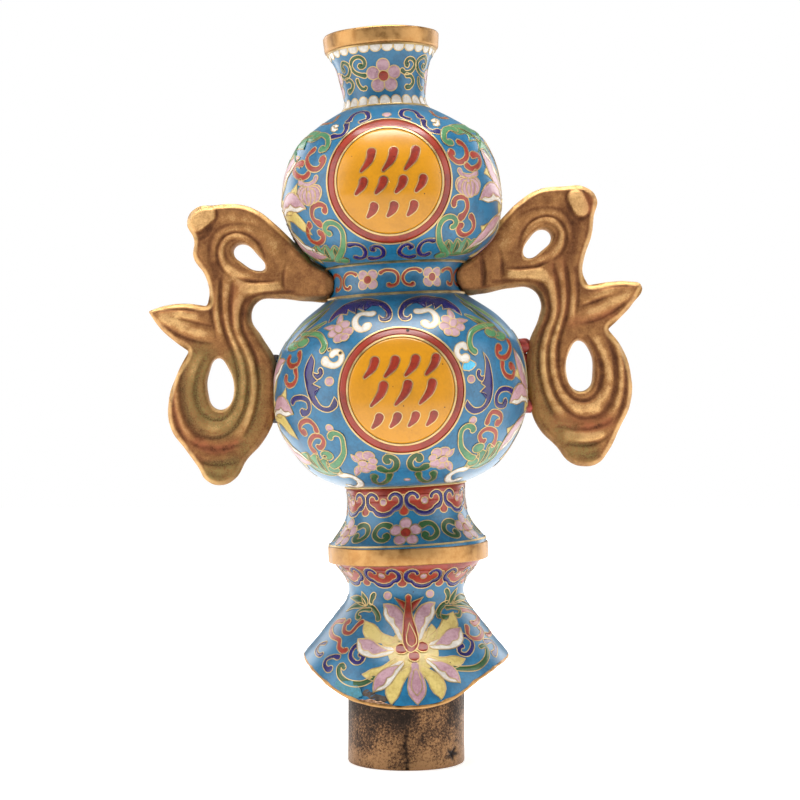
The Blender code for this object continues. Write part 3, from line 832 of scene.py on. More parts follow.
upperPattern = {
    "centre": (0.5, 159.8), "disc": 22.6,
    "dabs": [(9.5, 3, 12.0, 9.5, 0.5), (-1.5, 4, 9.0, 8.6, 0.5), (-12.0, 3, 8.0, 8.6, 0.5)],
    "pearl": ((1, 188.2), 1.9), "lotus": 147,
    "side": [
        ("indigo", 1.5, [(11.5, 185.6), (9, 186.3), (7, 187.7), (7.6, 189.6), (10, 190), (13, 189),
         (15, 187), (16, 185.5)]),
        ("indigo", 1.5, [(16.5, 185.8), (16.6, 183), (18.5, 181), (21, 180.2), (24, 180.2)]),
        ("white", 1.1, [(20.5, 184), (22, 185), (22.5, 183.2), (20.8, 182.6)]),
        ("red", 0.9, [(19.5, 189), (21.5, 187), (24.5, 185.7), (27, 185.5)]),
        ("lightGreen", 0, ([(25.4, 181.4), (30, 182.9), (35, 181), (39.4, 177.4), (42.6, 173),
         (44.4, 167.6)],
         [(25.4, 181.4), (31, 178.4), (34.4, 178.4), (35.6, 175.4), (35.6, 175.4), (38.8, 175),
         (39.4, 170.6), (39.4, 170.6), (41.6, 171.4), (44.4, 167.6)]), "patch", 1.0),
        ("darkGreen", 1.2, [(31, 181), (36, 178.6), (40.4, 174.2)], "leaf", 2.2),
        ("lightGreen", 1.8, [(28.8, 175.3), (26.3, 175), (24.8, 177), (25, 180), (27.5, 181.3), (31, 180)],
         "scroll", 3.3),
        ("red", 1.7, [(30, 175.5), (32.3, 174.2), (34, 171.8), (34.3, 169), (32.5, 166.8), (30, 166.6),
         (28, 168.5), (27.4, 170.3), (28.9, 171.5)]),
        ("red", 1.7, [(33.2, 166), (34.5, 164.2), (36.5, 163.3), (38.8, 164), (39.8, 166), (39.5, 168.5),
         (38, 169.3), (36.6, 168.8), (36.8, 167.7)], "scroll", 1.2),
        ("pink", 1.3, [(30.5, 163.9), (31.7, 161.4), (34.1, 160.2), (36.5, 160.5), (38.5, 162.2)]),
        ("pink", 0, ([(34.4, 159.3), (36.8, 160.1), (38.7, 158.5), (39.3, 156), (38.2, 153.5),
         (36.5, 151.9), (34.7, 151)],
         [(34.4, 159.3), (32.1, 160.1), (29.8, 159.5), (28.7, 157.2), (29.4, 154.5), (31.5, 152.5),
         (34.7, 151)]), "patch", 1.0),
        ("pink", 2.1, [(33.6, 158.9), (30.9, 157.2), (30.6, 154.7), (33.2, 152.1)], "disc", 2.2),
        ("pink", 2.1, [(35.2, 158.8), (37.6, 156.9), (37.8, 154.5), (35.9, 152)], "disc", 2.2),
        ("pink", 2.2, [(33.5, 158.3), (32.5, 155.8), (33, 153.5), (34.5, 151.3)], "disc", 3.4),
        ("pink", 2.2, [(35.4, 158.3), (36.2, 155.6), (35.9, 153.3), (34.7, 151.3)], "disc", 3.4),
        ("pink", 2.0, [(34.5, 157.4), (34.4, 154.4), (34.6, 151.1)], "leaf", 4.6),
        ("red", 1.6, [(28.6, 147.5), (27.6, 148.8), (28.2, 150.7), (30.4, 151.5), (32.6, 150.5),
         (33.4, 147.8), (32.8, 145.2), (30.9, 143.1), (29, 142.4)]),
        ("red", 1.6, [(33.9, 143.8), (35.4, 141.4), (35.5, 138.8), (34.2, 136.2), (31.8, 134.9),
         (29.8, 135.7), (29.1, 137.6), (30, 139), (31.1, 138.3)], "scroll", 1.2),
        ("lightGreen", 0, ([(20.6, 127.4), (22, 131.2), (24.6, 133.6), (26.4, 131.6), (26.4, 131.6),
         (28.2, 134), (30.2, 132.2), (30.2, 132.2), (32.2, 134), (34.2, 132.6), (34.2, 132.6), (36, 133.2),
         (38.4, 130.8)],
         [(20.6, 127.4), (25.4, 126.6), (30, 126.8), (34, 127.8), (38.4, 130.8)]), "patch", 1.0),
        ("darkGreen", 1.5, [(22.6, 127.4), (24, 130), (24.6, 132.8)], "leaf", 2.2),
        ("darkGreen", 1.5, [(26.2, 127.4), (28, 130), (28.4, 133)], "leaf", 2.2),
        ("darkGreen", 1.5, [(29.6, 127.6), (31.8, 130.4), (32.4, 133)], "leaf", 2.2),
        ("darkGreen", 1.3, [(32.6, 128), (35, 130), (36, 132)], "leaf", 2.2),
        ("lightGreen", (2.4, 2.2, 3.4), [(25.5, 139.3), (26.8, 138.7), (28, 140.5), (27.2, 142.8),
         (24.8, 143.3), (22, 141.5), (20.5, 138.5), (20.3, 135), (21, 132), (22.4, 129), (23.4, 126.4)],
         "scroll", 5.5),
        ("lightGreen", 1.9, [(20.4, 127)], "disc", 6.6),
        ("indigo", 1.4, [(6.8, 130.4), (8.5, 131), (7.2, 132.4), (4.7, 131.6), (3.3, 129.5), (4.5, 127.5),
         (7.5, 126.8), (10.6, 127.5)]),
        ("indigo", 1.4, [(19.3, 133.2), (15.7, 133.7), (12.9, 132.6), (11.4, 130.3), (12, 128),
         (14.2, 127.4), (16.7, 128.6)], "scroll", 1.3),
    ],
}


sideFlower = {  # white petals and yellow ones in turn: reach, bend, width
    "petals": 16, "scale": 1.7, "ground": 8, "core": 3, "heart": 2.6,
    "white": (19, 0.15, 8.4), "paleYellow": (17.2, -0.22, 6.8),
}


def sideLotus(section, turn, height):
    s = sideFlower
    place = around(gourdForm, turn + math.pi / 2, height, s["scale"])
    petals = []
    for number in [*range(1, s["petals"], 2), *range(0, s["petals"], 2)]:
        way = math.tau * number / s["petals"]
        colour = "paleYellow" if number % 2 else "white"
        reach, bend, width = s[colour]
        base, tip = [(far * math.cos(way), far * math.sin(way)) for far in (s["core"], reach)]
        petals.append((base, tip, width, bend if number < s["petals"] / 2 else -bend, colour))
    dot(section, place, (0, 0), s["ground"], "paleYellow", 0.5, False)
    lotus(section, place, petals)
    dot(section, place, (0, 0), s["heart"], "red", 4.8)


def finishBulb(section, turn, pattern):  # what a bulb carries once in front and once behind
    medallion(section, turn, pattern)
    dot(section, asSeen(gourdForm, 1, turn), *pattern["pearl"], "pink")
    sideLotus(section, turn, pattern["lotus"])


def addUpperBulb():
    section = newSection("upper_bulb", gourdForm)
    for turn in (0, math.pi):
        for side in (1, -1):
            drawAll(section, asSeen(gourdForm, side, turn), upperPattern["side"])
    for turn in (0, math.pi):
        finishBulb(section, turn, upperPattern)
    closeSection(section)


addUpperBulb()


waistPattern = {
    "centre": 116.4, "count": 6, "first": 35,
    "petals": [(3.1, 2.7), 2.2],     # reach across and up, and radius
    "heart": 1.9,
    "curl": ([(5, 2.2), (8, 3.6), (11.5, 3.0), (13.2, 0.6), (12.6, -2.2), (10.2, -3.2), (8.4, -2.0)], 1.4),
    "belts": [(123.3, 0.5, 0.7), (109.8, 0.5, 0.7)],
}


def addWaist():
    section = newSection("waist", gourdForm)
    w = waistPattern
    (across, up), radius = w["petals"]
    for angle in allRound(w["count"], w["first"]):
        place = around(gourdForm, angle, w["centre"])
        for turn in map(math.radians, (45, 135, 225, 315)):
            dot(section, place, (across * math.cos(turn), up * math.sin(turn)), radius, "pink", 1)
        dot(section, place, (0, 0), w["heart"], "red", 2.2)
        for side in (1, -1):
            curl = around(gourdForm, angle, w["centre"], 1.0, side)
            stroke(section, curl, *w["curl"], "red", "scroll", 1.2)
    for height, half, top in w["belts"]:
        belt(section, height, half, top)
    closeSection(section)


addWaist()


lowerPattern = {
    "centre": (1, 69.7), "disc": 22.9,
    "dabs": [(10.5, 4, 11.0, 8.8, 0.55), (-1.0, 3, 13.0, 10.5, 0.55), (-12.5, 4, 8.0, 7.8, 0.55)],
    "both": [
        ("lightGreen", (1.4, 3.2, 3.4, 2.6, 1.2), [(26, 109.6), (33, 104.6), (40, 99.8), (45, 95.4),
         (48.4, 90)], "dab", 1.0),
        ("darkGreen", 2.0, [(28, 106.6), (33.6, 102), (39.6, 97.4), (44.6, 92.6)], "leaf", 2.2),
        ("lightGreen", (1.2, 3.0, 3.0, 2.0), [(29.6, 100.8), (34, 98.6), (39.4, 95), (44, 91)], "dab",
         3.3),
        ("darkGreen", 1.3, [(32, 98.9), (36.6, 96.4), (41, 93)], "leaf", 4.4),
        ("indigo", 0, ([(28.6, 100.4), (27.2, 103.4), (24.6, 105.9), (21.2, 107.9), (17, 109.2),
         (12.6, 109.6), (8, 109.2), (4, 107.4), (1.8, 104.8), (1.2, 101.8), (2.6, 99.7), (5, 99.2),
         (6.9, 100.4), (7, 102.4)],
         [(28.6, 100.4), (26.2, 102), (23.6, 103.6), (20.6, 103.4), (20.6, 103.4), (20.2, 105.4),
         (20.2, 105.4), (16.9, 103.5), (16.9, 103.5), (16.6, 106), (16.6, 106), (13.4, 104.5),
         (13.4, 104.5), (13.2, 106.9), (13.2, 106.9), (8.6, 107), (5.4, 105.6), (3.7, 103.4), (3.8, 101.6),
         (5.4, 101.1), (7, 102.4)]), "patch", 2.2),
        ("white", 1.8, [(8, 103.5), (11, 103.2), (14.5, 103.5), (17, 101.5), (17.3, 98.5), (15, 96.6),
         (12.6, 97.6), (12.8, 99.4)]),
        ("lightGreen", 2.3, [(44, 91)], "disc", 3.3),
        ("lightGreen", 2.3, [(40.2, 92.4)], "disc", 4.4),
        ("pink", 1.6, [(30.8, 55.2)]),
        ("lightGreen", 0, ([(26, 35.4), (28.6, 38.8), (31.4, 38.8), (31.4, 38.8), (33, 42.6), (35.6, 41.8),
         (35.6, 41.8), (37.2, 44.8), (39.6, 43.4), (39.6, 43.4), (41.2, 45.4), (43.4, 45)],
         [(26, 35.4), (31, 34.6), (36, 36.6), (40.2, 40), (43.4, 45)]), "patch", 1.0),
        ("darkGreen", 1.6, [(28, 36), (30.4, 36.6), (33, 41)], "leaf", 2.2),
        ("darkGreen", 1.6, [(32.4, 36.4), (35, 39), (37.2, 43.6)], "leaf", 2.2),
        ("darkGreen", 1.4, [(36.6, 38.4), (39.4, 41.4), (41.2, 44.6)], "leaf", 2.2),
        ("lightGreen", 2.4, [(32.4, 43.4)], "disc", 3.3),
        ("lightGreen", 2.3, [(29.6, 37.4)], "disc", 4.4),
        ("lightGreen", (3.2, 2.2, 2.0, 2.4, 3.2, 3.2), [(30.4, 49.9), (30.6, 52), (28.5, 53), (26, 51.3),
         (24.9, 47.5), (25.5, 43.5), (28.2, 40), (31, 38.8)], "scroll", 5.5),
        ("darkGreen", 1.8, [(5.8, 38.6), (7.4, 40.2), (6.4, 41.6), (4, 40.8), (2.8, 38.4), (3.8, 36),
         (7, 35.4), (11.5, 37.5)]),
        ("darkGreen", 1.6, [(6, 34.6), (6.8, 31.4), (9.5, 30), (12.2, 31), (12.8, 33.2), (11.2, 34)]),
        ("white", 2.0, [(28, 34.8), (23, 34), (19.3, 31.8), (18.8, 29.9), (21, 29.5), (25, 30.8)]),
    ],
    "right": [
        ("lightGreen", (2.2, 2.6, 2.4, 2.2, 3.4), [(42, 95.6), (37, 95.5), (32.8, 93.5), (31.2, 90),
         (31.8, 86.2), (34.2, 84)], "scroll", 5.0),
        ("white", 1.7, [(30, 85.6), (28.6, 87.6), (26.2, 86.9), (25.6, 84.2), (27.4, 82), (31, 82.6)]),
        ("red", 1.6, [(47.2, 89.4), (48.4, 86), (47.4, 82.5), (44.8, 81.3), (42.8, 83), (43, 85.6),
         (44.8, 86.3)]),
        ("red", 1.6, [(45, 80.7), (44.6, 77), (46, 73.8), (48.6, 73), (49.8, 75.4), (49.2, 77.5),
         (47.6, 77.6)]),
        ("indigo", 1.5, [(38, 73.4), (35.4, 73), (34.2, 74.9), (35.2, 76.8)], "scroll", 1.0),
        ("indigo", 0, ([(36.6, 84.4), (38.8, 81), (39.9, 76.4), (40, 72), (39.9, 68), (39.2, 64.4),
         (37.4, 61), (34.6, 58.6), (31.4, 58), (28.8, 59.4), (27.9, 61.8), (28.8, 64.2)],
         [(36.6, 84.4), (37.4, 80.4), (37, 76), (36.6, 72.6), (35, 71), (35, 71), (36.9, 69.6),
         (36.9, 69.6), (34.6, 67.2), (34.6, 67.2), (37, 66), (36.9, 63.6), (35, 61.2), (32.4, 60.4),
         (30.7, 61.6), (28.8, 64.2)]), "patch", 2.2),
        ("pink", 1.6, [(31.1, 72.8)]),
        ("indigo", 1.6, [(49, 66), (46.5, 67.8), (43.5, 67.5), (41.5, 65), (41.5, 61.8), (43.4, 60.6),
         (45.1, 61.9), (44.8, 63.5)]),
        ("red", 1.6, [(36.7, 52.6), (37.3, 56), (39.5, 58.3), (42.2, 57.8), (43.2, 55.5), (42, 53.5),
         (40.5, 54.2)]),
        ("red", 1.5, [(36.4, 46.6), (34.2, 46), (33.4, 48.4), (35, 50.6), (37.5, 51.1), (40, 49.9),
         (40.3, 46.8), (38.4, 43)]),
        # a pale turquoise spot where the right of the bulb shows a glint: a painted highlight
        ("paleTurquoise", (1.0, 4.6, 4.0, 1.0), [(27.6, 77.4), (30, 78.8), (33.4, 79.4)], "dab", 0.2),
    ],
    "left": [
        ("lightGreen", (2.2, 2.6, 2.6, 2.4, 3.4), [(40.6, 95.6), (36.6, 96), (33, 95), (31, 92),
         (31.2, 89.2), (33.2, 88)], "scroll", 5.0),
        ("white", 1.7, [(28.6, 85.4), (27.6, 87.4), (25.2, 87.5), (24, 85.4), (24.8, 83), (27.6, 82),
         (30.4, 83.2), (32, 85.4)]),
        ("burntBlack", 0.8, [(24.4, 87)], "disc", 3.0),
        ("burntBlack", 0.7, [(29, 88.7)], "disc", 3.0),
        ("red", 1.6, [(42.2, 89), (41.8, 86), (43.2, 83.2), (45.8, 82.8), (46.9, 85), (45.6, 86.8)]),
        ("red", 1.6, [(44.2, 82), (43.8, 78), (45.2, 75), (47.4, 74.4), (48.4, 76.6), (47.6, 78.8)]),
        ("indigo", 1.7, [(37.6, 78.4), (34.8, 77.4), (33.2, 79), (33.9, 81)], "scroll", 1.0),
        ("indigo", 0, ([(36.6, 87.2), (38.8, 84), (40.1, 80), (40.2, 76), (39.6, 71.8), (38.4, 68),
         (36.2, 64.6), (33.2, 62.4), (29.8, 62.1), (27.2, 63.8), (26.8, 66.4), (28, 68.6)],
         [(36.6, 87.2), (35.6, 84.4), (36.2, 81.4), (36.6, 78), (34.8, 75.8), (34.8, 75.8), (36.8, 74.4),
         (36.8, 74.4), (33.9, 72.8), (33.9, 72.8), (36.3, 70.8), (35.4, 67.6), (33.4, 65), (30.8, 64.4),
         (29.4, 66), (28, 68.6)]), "patch", 2.2),
        ("pink", 1.8, [(29.8, 75.2)]),
        ("indigo", 1.7, [(46.6, 66.2), (45, 68.4), (42, 68.9), (39.6, 67.4), (38.8, 64.6), (39.9, 62.5),
         (41.8, 62.6), (42.2, 64.2)]),
        ("red", 1.6, [(35.8, 53.2), (37, 56.6), (39.6, 58.8), (42.4, 58.2), (43.6, 56), (42.2, 53.9),
         (40.8, 54.6)]),
        ("red", 1.6, [(37, 47.6), (34.8, 47), (33.6, 49.4), (35, 51.8), (37.8, 52), (39.6, 49.6), (39, 47),
         (36.6, 44.2)]),
        ("burntBlack", 0.7, [(33.4, 43.2)], "disc", 4.6),
    ],
    "buds": [((23.8, 96.4), 0.98, -0.6), ((16, 39.7), 0.98, -1.75)],
    "pearl": ((1.3, 31.3), 1.3), "lotus": 62, "pit": ((5, 95.4), 0.7),
}


def addLowerBulb():
    section = newSection("lower_bulb", gourdForm)
    for turn in (0, math.pi):
        for side, own in ((1, "right"), (-1, "left")):
            place = asSeen(gourdForm, side, turn)
            drawAll(section, place, lowerPattern["both"] + lowerPattern[own])
            for bud in lowerPattern["buds"]:
                peony(section, place, *bud)
        finishBulb(section, turn, lowerPattern)
    dot(section, asSeen(gourdForm, 1), *lowerPattern["pit"], "burntBlack", 3.0, False)
    closeSection(section)


addLowerBulb()


footPattern = {
    "band": (29.3, 22.6),
    "cloudHeads": (9, 17.5, 23, 25.4),    # how many, the first's angle, their height, the radius there
    "blossoms": (6, -1, 10.4), "flower": (4.3, 2.5, 2.3),
    "scrolls": [
        ("darkGreen", 1.6, [(5.5, 2.6), (9, 4.0), (12, 2.8), (13.6, -0.4), (12, -3.2), (9.3, -3.6),
         (8.0, -1.8), (9.6, -0.6)]),
    ],
    "belts": [(29.6, 0.5, 0.6), (5.0, 0.35, 0.4)],
}


def addFoot():
    section = newSection("foot", gourdForm)
    band(section, *footPattern["band"], "red")
    count, first, height, radius = footPattern["cloudHeads"]
    for angle in allRound(count, first):
        ruyi(section, around(gourdForm, angle, height), math.tau * radius / count)
    count, first, height = footPattern["blossoms"]
    for angle in allRound(count, first):
        blossom(section, around(gourdForm, angle, height), (0, 0), footPattern["flower"])
        for side in (1, -1):
            drawAll(section, around(gourdForm, angle, height, 1.0, side), footPattern["scrolls"])
    for height, half, top in footPattern["belts"]:
        belt(section, height, half, top)
    closeSection(section)


addFoot()
print("gourd enamelled")


footBand = {
    "outline": [(0, -1.2), (30.7, -1.2), (30.7, 2.8), (33, 3.4), (33.7, 3.6), (34.15, 3.4), (34.3, 3),
                (34.35, 0), (34.3, -3), (34.1, -3.45), (33.6, -3.6), (0, -3.6)],
    "tilt": lean - math.radians(1.07),   # it sits a little straighter than the gourd
    "origin": bandCentre + Vector((0, 0, 0.45)), "half": 3.6, "segments": 180, "wobble": 0.12,
}
skirtPattern = {
    "rise": 1.5,       # the pattern's heights start this far above the socket's end
    "band": (88.5, 81.2),
    "cloudHeads": (10, 14.5, 81.6, 26.4, 0.96),    # as the foot's, and their scale
    "front": [
        ("red", (2.6, 2.8, 1.8), [(0.6, 61.5), (-1.0, 65), (-5.2, 68.6)], "leaf", 7.0),
        ("red", (2.6, 2.8, 1.8), [(1.2, 61.5), (3.0, 65), (7.1, 68.8)], "leaf", 7.0),
        ("red", 0, ([(0.9, 70.1), (-0.4, 68.9), (-0.3, 67.2), (-0.6, 65), (-0.8, 61.6), (-1.0, 59),
         (-1.4, 55.1), (-1.8, 51.3), (-1.2, 47.9), (0.5, 45.5), (2.1, 44.6)],
         [(0.9, 70.1), (2.1, 68.9), (2.0, 67.2), (2.2, 65), (2.5, 61.6), (3.0, 59), (4.2, 55.1),
         (5.1, 51.3), (5.3, 47.9), (4.1, 45.6), (2.1, 44.6)]), "patch", 8.2),
        ("red", 0, ([(1.3, 57.4), (0.8, 54.4), (0.1, 51.2), (0.5, 48.5), (2.4, 47)],
         [(1.3, 57.4), (2.8, 54.4), (4.1, 51.2), (4.1, 48.5), (2.4, 47)]), "patch", 9.4),
        ("red", 2.6, [(-2.0, 46.4)], "disc", 5.8),
        ("red", 2.6, [(7.0, 47.2)], "disc", 5.8),
        ("red", 2.6, [(3.4, 43.2)], "disc", 7.4),
        ("pink", 1.7, [(-8, 69.2)]),
        ("pink", 1.6, [(10.3, 70.2)]),
        ("darkGreen", (2.0, 2.6, 2.4, 2.0), [(19.5, 38.5), (24, 38), (30, 38.5), (34, 41.5), (35, 45.5),
         (33.5, 48), (31.3, 47)]),
        ("darkGreen", (2.0, 2.6, 2.4, 2.0), [(-13, 34.5), (-19, 31.5), (-25, 32), (-28.5, 35), (-29, 38.5),
         (-27.5, 39.5), (-26.3, 37.5)]),
        ("indigo", 1.5, [(22.3, 52.3), (25.5, 52), (28, 49.5), (28.3, 46.5), (26, 44), (23, 45),
         (22.7, 47.5), (24.5, 48)]),
        ("indigo", 1.5, [(33.5, 49.5), (36, 50), (38, 48), (38.5, 45.5), (37, 43.8)]),
        ("indigo", 1.5, [(-19.5, 48.5), (-22.5, 47), (-24, 43.5), (-22, 40.5), (-19.5, 41), (-18.7, 43.5),
         (-20.5, 44.8)]),
        ("indigo", 1.5, [(-28.5, 42.5), (-31, 43.3), (-34, 42), (-35, 39.5), (-33.5, 37.5),
         (-31.5, 38.5)]),
        ("indigo", 1.2, [(-34, 49), (-37, 48.4), (-38.6, 46), (-37.4, 43.8), (-35.4, 44.4)]),
        ("red", 1.5, [(22.8, 63.4), (26.5, 62.9), (30.2, 61), (30.8, 58.6), (29, 57.4), (27.6, 58.8)]),
        ("red", 1.5, [(26, 57), (26.5, 53), (29, 51), (32, 51.5), (32.5, 54.5), (30.5, 56)], "scroll",
         1.2),
        ("red", 1.2, [(33.4, 57.4), (36, 55.4), (35.9, 52.7), (34.2, 52.4)]),
        ("red", 1.5, [(-18, 58.8), (-20.8, 56.6), (-24, 53.3), (-26.5, 54), (-26, 57), (-23.6, 58.6)]),
        ("red", 1.5, [(-26.4, 58.6), (-29.8, 58), (-32.2, 55), (-31.8, 51.8), (-28.8, 50.4), (-29, 47),
         (-27, 45.3), (-25, 47)], "scroll", 1.2),
    ],
    "leaves": [  # stems rise from the lotus and open into leaves under the waist
        ("darkGreen", (2.2, 2.0, 2.6), [(14.4, 59.6), (13.8, 62.4), (15.4, 65), (18.6, 66.6)], "scroll",
         1.0),
        ("darkGreen", (1.4, 1.8, 2.8, 2.2), [(16.8, 66), (17.8, 68.8), (17.6, 71), (16.4, 72)], "scroll",
         1.1),
        ("darkGreen", 2.0, [(18.4, 66), (20.4, 69), (21.7, 72.8)], "leaf", 2.2),
        ("darkGreen", 2.2, [(19, 66), (23, 68.6), (27, 69)], "leaf", 2.3),
        ("darkGreen", 2.0, [(19.4, 65.6), (24.4, 66), (28.6, 63.6)], "leaf", 2.4),
        ("darkGreen", 1.1, [(16.6, 64), (20, 64.4), (23, 63.1), (22.8, 61), (21, 60.9)], "scroll", 3.5),
        ("darkGreen", 2.0, [(14.4, 61.4), (16.4, 59.9), (18.6, 60.8)], "leaf", 2.5),
        ("darkGreen", (2.2, 2.0, 2.6), [(-12, 58.2), (-12.2, 61), (-14, 63.8), (-17, 65.6)], "scroll",
         1.0),
        ("darkGreen", (1.4, 1.8, 2.8, 2.2), [(-15, 65), (-14.8, 67.4), (-13.9, 69.4), (-12.8, 69.6)],
         "scroll", 1.1),
        ("darkGreen", 2.0, [(-16.6, 65), (-18, 68), (-19, 71.2)], "leaf", 2.2),
        ("darkGreen", 2.2, [(-17, 65), (-20.6, 68), (-24, 68.6)], "leaf", 2.3),
        ("darkGreen", 2.0, [(-17.6, 64.6), (-22, 65), (-25.8, 62.6)], "leaf", 2.4),
        ("darkGreen", 1.1, [(-14.8, 63), (-18, 63.2), (-20.8, 62), (-21, 60), (-19.4, 59.6)], "scroll",
         3.5),
    ],
    "petals": [
        ((5.5, 39), (15, 24.6), 6.8, 0.14, "paleYellow"), ((2, 39), (-6.2, 22.4), 6.6, -0.14,
         "paleYellow"),
        ((9, 50), (20, 62.4), 7.6, -0.18, "paleYellow"), ((-4, 50), (-17.6, 58.4), 6.6, 0.2, "paleYellow"),
        ((8, 43.6), (25.2, 42.2), 5.8, -0.12, "paleYellow"), ((-3, 43), (-19, 35.6), 5.8, 0.16,
         "paleYellow"),
        ((6, 48), (11, 57), 4.6, -0.2, "paleYellow"), ((-3, 48), (-10, 53), 4.6, 0.2, "paleYellow"),
        ((5.0, 49.5), (12.2, 66.4), 7.6, 0.12, "white", "Left"),
        ((-1.4, 49.5), (-9.8, 65.6), 7.8, -0.12, "white", "Right"),
        ((9, 47.6), (23.2, 55.6), 8.4, -0.16, "white", "Left"),
        ((-4.4, 46), (-20.6, 50.8), 8.2, 0.18, "white", "Right"),
        ((8, 42.6), (23.2, 32), 7.2, 0.04, "white", "Left"),
        ((-0.8, 41.4), (-14.2, 28), 7.2, -0.03, "white", "Right"),
        ((3.6, 41.5), (4.9, 22.4), 7.8, 0.01, "pink"),
    ],
    "bract": ([(3.9, 38), (4.7, 26.4)], 4.6), "heart": ((2.8, 46.4), 10.8),
    "damage": {
        "chip": {"line": [(-19, 28), (-15.4, 26.8), (-11.6, 25.4), (-7.6, 24.4)],
                 "width": (4.4, 6.4, 4.4, 2.0), "lift": -0.45, "depth": 0.8, "reach": 3.2},
        "repair": {"line": [(-30.4, 32.2), (-24.6, 29), (-18.8, 26.2)], "width": (4.5, 7.0, 4.6),
                   "lift": 0.1},
        "bare": {"line": [(-20, 24.4), (-13.5, 23), (-6.5, 22)], "width": (2.0, 2.8, 1.8), "lift": 0.12},
    },
}


def hemHeight(angle):
    rise = smoothPath(skirt["hemRise"], 6)
    return skirt["hemLow"] + (skirt["hemHigh"] - skirt["hemLow"]) * np.interp(np.sin(angle), *rise.T)


def skirtRun(t, angle):  # t runs from 0 under the band to 1 at the hem
    across = skirt["bandRadius"] * np.sin(angle)
    tilt, centre = footBand["tilt"], footBand["origin"]
    top = centre.z - (footBand["half"] + skirt["bandGap"]) / math.cos(tilt)
    start = runAt(skirtForm, top + (socketAxis + across - centre.x) * math.tan(tilt))
    return start + t * (runAt(skirtForm, hemHeight(angle)) - start)


def onSkirt(turn=0.0, shake=0.1):
    seen = asSeen(skirtForm, 1, turn, shake)
    return lambda points: seen([(x, z + skirtPattern["rise"]) for x, z in points])


def nearness(line, angle, run, reach):  # 1 on a line over the skirt, falling to 0 at its reach
    gap = np.full(angle.shape, 1e9)
    for spot in line:
        across = np.angle(np.exp(1j * (angle - spot[0]))) * radiusAt(skirtForm, spot[1])
        gap = np.minimum(gap, np.hypot(across, run - spot[1]))
    return np.clip(1 - gap / reach, 0, 1)


def addSkirtGround():
    shape = bmesh.new()
    angle, t = np.meshgrid(np.linspace(0, math.tau, skirt["segments"] + 1),
                           np.linspace(1, 0, skirt["rows"]))
    run = skirtRun(t, angle)
    chip = skirtPattern["damage"]["chip"]
    line = smoothPath(onSkirt(shake=0)(chip["line"]), 12)
    depth = chip["depth"] * nearness(line, angle, run, chip["reach"]) ** 0.5
    ragged = 0.75 + 0.25 * np.sin(angle * 310) * np.sin(run * 3.1)
    spots = np.stack([angle, run], axis=-1)
    outer = onSurface(skirtForm, spots, -depth * ragged)
    inner = onSurface(skirtForm, spots, -skirt["wall"])[::-1]
    fillGrid(shape, outer)
    fillGrid(shape, np.concatenate([outer[-1:], inner[:-1:5], inner[-1:], outer[:1]]), 1)
    finishPiece("skirt_ground", shape, [enamelOf["turquoise"], copperInside], "skirt")


def addSkirtPattern():
    section = newSection("skirt", skirtForm)
    band(section, *skirtPattern["band"], "red")
    count, first, height, radius, scale = skirtPattern["cloudHeads"]
    for angle in allRound(count, first):
        ruyi(section, around(skirtForm, angle, height, scale), math.tau * radius / count)
    for turn in (0, math.pi):
        place = onSkirt(turn)
        drawAll(section, place, skirtPattern["leaves"])
        dot(section, place, *skirtPattern["heart"], "paleYellow", 0.5, False)
        lotus(section, place, skirtPattern["petals"])
        stroke(section, place, *skirtPattern["bract"], "pink", "petal", 2.2)
        drawAll(section, place, skirtPattern["front"])
    closeSection(section)


def addSkirtDamage():
    shape = bmesh.new()
    for number, part in enumerate(skirtPattern["damage"].values()):
        spine = smoothPath(onSkirt(shake=0)(part["line"]), 12)
        across, up = heading(skirtForm, spine)
        t = np.linspace(0, 1, len(spine))
        half = spread(part["width"], t) / 2 * np.sqrt(np.sin(np.pi * t))
        half *= 1 + 0.2 * np.sin(t * 17 + number) + 0.12 * np.sin(t * 31)  # a ragged outline
        grid = np.array([besides(skirtForm, spine, across, up, half * k) for k in np.linspace(-1, 1, 7)])
        grid[..., 1] = np.minimum(grid[..., 1], runAt(skirtForm, hemHeight(grid[..., 0])) - 0.1)
        fillGrid(shape, onSurface(skirtForm, grid, part["lift"]), number)
    thicken(finishPiece("skirt_damage", shape, hemDamage, None), 0.25)


def addTube(name, points, radii, material, node, closed):
    curve = bpy.data.curves.new(name, "CURVE")
    curve.dimensions = "3D"
    curve.bevel_depth = 1.0
    curve.bevel_resolution = 2
    curve.use_fill_caps = True
    spline = curve.splines.new("POLY")
    spline.points.add(len(points) - 1)
    spline.use_cyclic_u = closed
    for point, place, radius in zip(spline.points, points, radii):
        point.co = (*place, 1.0)
        point.radius = radius * mm
    shape = finalShape(name, curve)
    bmesh.ops.remove_doubles(shape, verts=shape.verts, dist=0.002 * mm)
    bmesh.ops.recalc_face_normals(shape, faces=shape.faces)
    finishPiece(name, shape, [material], node)


def addHemBead():
    bead = skirt["bead"]
    angles = np.linspace(0, math.tau, skirt["segments"] + 1)[:-1]
    hem = hemHeight(angles)
    radius = radiusAt(skirtForm, runAt(skirtForm, hem)) - bead["inset"]
    wander = 0.12 * np.sin(angles * 23) + 0.1 * np.sin(angles * 41 + 1)
    places = np.stack([radius * np.sin(angles) + socketAxis, -radius * np.cos(angles),
                       hem - bead["drop"] + 0.5 * wander], axis=1) * mm
    addTube("skirt_hem_bead", places.tolist(), (bead["radius"] + wander).tolist(), bandGilt,
            "skirt_hem_rim", True)


addSkirtGround()
addSkirtPattern()
addSkirtDamage()
addHemBead()
print("skirt made")


